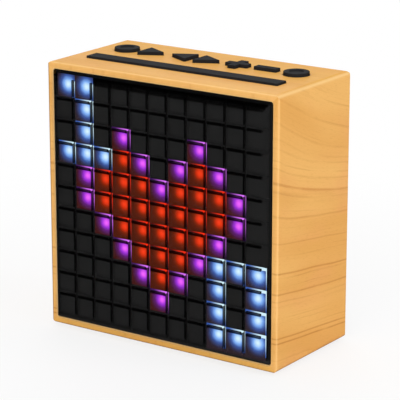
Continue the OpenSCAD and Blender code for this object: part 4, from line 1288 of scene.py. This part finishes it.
@dataclass
class PixelScreen(PlainGroup):
    """The screen, the stack behind it and the lit cells."""

    picture: PixelPicture
    slots: Slots = (
        ("pixel_mask", "mask_plastic"),
        ("diffuser_sheet", "smoked_film"),
        ("pixel_reflector", "white_plastic"),
        ("pixel_lights", "light_body"),
        ("pixel_board", "board_green"),
    )
    plate_front: float = 0.05 * MM
    plate_thick: float = 0.03 * MM
    plate_crown: float = 0.12 * MM
    plate_gap: float = 0.06 * MM
    plate_crest: float = 0.25 * MM
    plate_drop: float = 1.4 * MM
    lit_inset: float = 0.4 * MM
    lit_outset: float = 0.55 * MM
    unlit_outset: float = 1.2 * MM
    plate_lead: Span = (-0.03, 0.07)
    crown_power: int = 4
    groove_depth: float = 0.9 * MM
    steps: int = 6

    def __post_init__(self) -> None:
        """Read the field and the stack's depths from the frame."""
        self.low, self.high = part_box("pixel_mask")
        self.pitch = (self.high.x - self.low.x) / self.picture.side
        self.middle = (self.low.z + self.high.z) / 2
        self.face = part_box("screen")[0].y

    def windows(self) -> dict[Tint, Finish]:
        """Choose the finish of each tint's cells.

        Returns:
            The finishes by tint.
        """
        place = {
            "middle": self.middle / MM,
            "pitch": self.pitch / MM,
            "lead": self.plate_lead,
            "last": self.picture.side // 2,
        }
        return {
            Tint.OUTLINE: LitCellFinish(
                hot=srgb(242, 98, 255),
                warm=srgb(158, 48, 216),
                dim=srgb(96, 30, 118),
                rim=srgb(62, 18, 16),
                painted_bevel_light=srgb(222, 116, 255),
                painted_bevel_light_low=srgb(58, 14, 84),
                spot_reach=5.9,
                **place,
            ),
            Tint.CORE: LitCellFinish(
                hot=srgb(252, 62, 20),
                warm=srgb(198, 42, 2),
                dim=srgb(122, 32, 0),
                rim=srgb(74, 20, 0),
                painted_bevel_light=srgb(242, 44, 10),
                painted_bevel_light_low=srgb(76, 4, 0),
                spot_reach=4.9,
                **place,
            ),
            Tint.DIGIT: LitCellFinish(
                hot=srgb(212, 242, 255),
                warm=srgb(128, 176, 247),
                dim=srgb(60, 88, 158),
                rim=srgb(42, 30, 36),
                painted_bevel_light=srgb(212, 242, 255),
                painted_bevel_light_low=srgb(54, 90, 168),
                spot_reach=6.1,
                **place,
            ),
            Tint.UNLIT: DarkCellFinish(
                middle=self.middle / MM,
                shade_band_foot=self.high.z / MM - SmokedScreenFinish.band,
            ),
        }

    def plate(self, mesh: bmesh.types.BMesh, row: int, column: int, tint: Tint) -> None:
        """Add one softly crowned window plate behind a tile.

        Args:
            mesh: The mesh to add to.
            row: Row from the top.
            column: Column from the left.
            tint: The cell's tint, which says how far a plate of the first or last column reaches out.
        """
        half = self.pitch / 2 - self.plate_gap / 2
        x0 = self.low.x + (column + 0.5 + self.plate_lead[0]) * self.pitch
        z0 = self.high.z - (row + 0.5 - self.plate_lead[1]) * self.pitch
        crest = 0.0 if row else self.plate_crest
        last = self.picture.side - 1
        drop = self.plate_drop if row == last else 0.0
        unlit = tint is Tint.UNLIT
        left = (self.unlit_outset if unlit else -self.lit_inset) if column == 0 else 0.0
        right = (self.unlit_outset if unlit else self.lit_outset) if column == last else 0.0
        front = self.low.y - self.plate_front
        count = self.steps
        grid = []
        for i in range(count + 1):
            line = []
            for k in range(count + 1):
                u = 2 * i / count - 1
                v = 2 * k / count - 1
                crown = self.plate_crown * (1 - u**self.crown_power) * (1 - v**self.crown_power)
                shift = u * half + min(u, 0) * left + max(u, 0) * right
                rise = v * half + min(v, 0) * drop + max(v, 0) * crest
                line.append(mesh.verts.new((x0 + shift, front - crown, z0 + rise)))
            grid.append(line)
        for i in range(count):
            for k in range(count):
                mesh.faces.new((grid[i][k], grid[i + 1][k], grid[i + 1][k + 1], grid[i][k + 1]))
        edge = [grid[i][0] for i in range(count)] + [grid[count][k] for k in range(count)]
        edge += [grid[i][count] for i in range(count, 0, -1)] + [grid[0][k] for k in range(count, 0, -1)]
        back = [mesh.verts.new((v.co.x, front + self.plate_thick, v.co.z)) for v in edge]
        for i, vert in enumerate(edge):
            after = (i + 1) % len(edge)
            mesh.faces.new((edge[after], vert, back[i], back[after]))
        mesh.faces.new(back)

    def build(self) -> None:
        """Make one piece of window plates for each tint."""
        windows = self.windows()
        for tint in Tint:
            mesh = bmesh.new()
            for row, column, colour in self.picture.cells():
                if colour is tint:
                    self.plate(mesh, row, column, tint)
            bmesh.ops.recalc_face_normals(mesh, faces=mesh.faces)
            data = bpy.data.meshes.new(tint.value)
            mesh.to_mesh(data)
            mesh.free()
            data.shade_smooth()
            piece = add_object(tint.value, data)
            data.materials.append(windows[tint].material(tint.value))
            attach(piece, ROOT_BODY)
            LOG.info("%s rides on %s", piece.name, ROOT_BODY)

    def dress(self, nodes: Nodes, stock: Stock) -> None:
        """Put the smoked finish on the screen and plain ones on the stack.

        Args:
            nodes: The frame's nodes by name.
            stock: The shared finishes.
        """
        smoke = SmokedScreenFinish(
            half_field=(self.high.x - self.low.x) / 2 / MM,
            middle=self.middle / MM,
            face=self.face / MM,
            groove_floor=(self.face + self.groove_depth) / MM,
            back=self.low.y / MM,
            pitch=self.pitch / MM,
        )
        dress(nodes["screen"], smoke.material("smoked_screen"))
        super().dress(nodes, stock)


@dataclass
class KeyDeck(PlainGroup):
    """The rubber keys on top, their plungers, switches and board."""

    small: tuple[str, ...] = ("power", "play", "previous", "next", "volume_up", "volume_down", "mode")
    slots: Slots = (
        ("snooze_bar", "key_rubber"),
        ("snooze_plungers", "plunger_red"),
        ("switch_bodies", "chip_black"),
        ("key_board", "board_green"),
        ("key_board_screws", "screw_steel"),
    )

    def dress(self, nodes: Nodes, stock: Stock) -> None:
        """Put rubber on the keys and plain finishes on what is under them.

        Args:
            nodes: The frame's nodes by name.
            stock: The shared finishes.
        """
        for name in self.small:
            dress(nodes[f"{name}_key"], stock.get("key_rubber"))
            dress(nodes[f"{name}_plunger"], stock.get("plunger_red"))
        super().dress(nodes, stock)


@dataclass
class RearCover(PlainGroup):
    """The rear cover with its grille, socket and screws, and the loudspeaker behind it."""

    slots: Slots = (
        ("rear_cover", "cover_plastic"),
        ("rear_cover_screws", "screw_dark"),
        ("speaker_grille", "grille_metal"),
        ("charge_socket", "tinned_sheet"),
        ("charge_socket_core", "chip_black"),
        ("port_board", "board_green"),
        ("port_board_screws", "screw_steel"),
        ("speaker_gasket", "foam_ring"),
        ("speaker_basket", "basket_metal"),
        ("speaker_surround", "roll_rubber"),
        ("speaker_cone", "cone_paper"),
        ("speaker_dust_cap", "cone_paper"),
        ("speaker_spider", "spider_cloth"),
        ("voice_coil", "coil_copper"),
        ("magnet_front_plate", "plate_steel"),
        ("speaker_magnet", "magnet_ferrite"),
        ("magnet_yoke", "plate_steel"),
        ("speaker_screws", "screw_steel"),
    )


@dataclass
class Inside(PlainGroup):
    """The chassis, the main board and the battery."""

    slots: Slots = (
        ("chassis", "inner_plastic"),
        ("main_board", "board_green"),
        ("main_board_chips", "chip_black"),
        ("shield_can", "tinned_sheet"),
        ("main_board_screws", "screw_steel"),
        ("battery_cell", "cell_wrap"),
        ("battery_cradle", "inner_plastic"),
        ("battery_tabs", "tinned_sheet"),
    )


# Studio


# Kinds of ray that see the floor and the backdrop white
SEEING_RAYS = ("Camera", "Glossy", "Transmission")


@dataclass(frozen=True)
class FloorFinish(Finish):
    """White floor that keeps the soft shadow near the object and fades into the backdrop."""

    tone: Colour = (0.94, 0.94, 0.94)
    near: float = 60.0
    far: float = 260.0
    least: float = 0.8
    rough: float = 0.9
    specular: float = 0.1

    def paint(self, bench: Bench) -> Field:
        """Build the floor: matt near the object, plain white far from it.

        Args:
            bench: The material's bench.

        Returns:
            The shader: the floor, which the camera sees through from below.
        """
        x, y, _ = bench.place()
        away = (x * x + y * y).math("SQRT").ramp(self.near, self.far) * (1 - self.least) + self.least
        matt = bench.surface(
            Base_Color=self.tone,
            Roughness=self.rough,
            Specular_IOR_Level=self.specular,
        )
        white = bench.add("ShaderNodeEmission", sockets={"Color": (1.0, 1.0, 1.0), "Strength": 1.0})
        lit = bench.mix_surfaces(away * bench.ray(*SEEING_RAYS), matt, white)
        below = bench.add("ShaderNodeNewGeometry", output="Backfacing") * bench.ray("Camera")
        return bench.mix_surfaces(below, lit, bench.add("ShaderNodeBsdfTransparent"))


@dataclass(frozen=True)
class Softbox:
    """One soft square light: its name, where it stands in metres, its side and its power in watts."""

    name: str
    place: tuple[float, float, float]
    side: float
    power: float


@dataclass
class Studio:
    """Floor, soft light, white backdrop and camera."""

    aim: Vector
    azimuth: float = 34.66
    elevation: float = 15.8
    distance: float = 0.7596
    slide_right: float = 0.895 * MM
    slide_up: float = -0.07 * MM
    lens: float = 191.0
    sensor: float = 36.0
    floor_side: float = 4.0
    ambient: float = 0.44
    lights: tuple[Softbox, ...] = (
        Softbox("key_light", (0.3, -1.1, 0.4), 0.7, 4.65),
        Softbox("side_light", (0.85, 0.0, 0.62), 0.7, 3.1),
        Softbox("low_light", (0.15, -1.0, 0.1), 0.4, 0.8),
        Softbox("top_light", (-0.1, 0.1, 1.2), 0.8, 2.7),
        Softbox("back_light", (-0.7, 0.9, 0.6), 0.8, 3.6),
    )

    def build_floor(self) -> None:
        """Lay the floor under the feet."""
        half = self.floor_side / 2
        data = bpy.data.meshes.new("floor")
        corners = [(-half, -half, 0), (half, -half, 0), (half, half, 0), (-half, half, 0)]
        data.from_pydata(corners, [], [(0, 1, 2, 3)])
        floor = add_object("floor", data)
        data.materials.append(FloorFinish().material("studio_floor"))

    def build_lights(self) -> None:
        """Hang the softboxes, each aimed at the object."""
        for box in self.lights:
            data = bpy.data.lights.new(box.name, "AREA")
            data.shape = "SQUARE"
            data.size = box.side
            data.energy = box.power
            lamp = add_object(box.name, data)
            lamp.location = box.place
            lamp.rotation_euler = (self.aim - lamp.location).to_track_quat("-Z", "Y").to_euler()

    def build_world(self) -> None:
        """Light the room evenly and show it white behind the object."""
        world = bpy.data.worlds.new("studio")
        bpy.context.scene.world = world
        world.use_nodes = True
        bench = Bench(world.node_tree)
        strength = bench.mix(bench.ray(*SEEING_RAYS), self.ambient, 1.0)
        shade = bench.add("ShaderNodeBackground", sockets={"Color": (1, 1, 1), "Strength": strength})
        bench.finish(shade, "ShaderNodeOutputWorld")

    def build_camera(self) -> None:
        """Set the camera at the photograph's angle."""
        turn = math.radians(self.azimuth)
        rise = math.radians(self.elevation)
        look = Vector((-math.sin(turn) * math.cos(rise), math.cos(turn) * math.cos(rise), -math.sin(rise)))
        right = Vector((math.cos(turn), math.sin(turn), 0.0))
        over = right.cross(look)
        data = bpy.data.cameras.new("camera")
        data.lens = self.lens
        data.sensor_width = self.sensor
        camera = add_object("camera", data)
        camera.location = self.aim + right * self.slide_right + over * self.slide_up - look * self.distance
        camera.rotation_euler = look.to_track_quat("-Z", "Y").to_euler()
        bpy.context.scene.camera = camera

    def build(self) -> None:
        """Make the whole studio."""
        bpy.context.scene.view_settings.view_transform = "Standard"
        self.build_floor()
        self.build_lights()
        self.build_world()
        self.build_camera()


def main() -> None:
    """Load the frame, build and dress each sub-assembly, and set up the studio."""
    logging.basicConfig(level=logging.INFO, format="%(message)s")
    for start in list(bpy.data.objects):
        bpy.data.objects.remove(start)
    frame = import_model()
    nodes = frame["nodes"]
    stock = Stock()
    low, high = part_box("wood_sleeve")
    Studio(aim=(low + high) / 2).build()
    Sleeve().dress(nodes, stock)
    screen = PixelScreen(PixelPicture())
    screen.build()
    screen.dress(nodes, stock)
    KeyDeck().dress(nodes, stock)
    RearCover().dress(nodes, stock)
    Inside().dress(nodes, stock)
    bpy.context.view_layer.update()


if __name__ == "__main__":
    main()
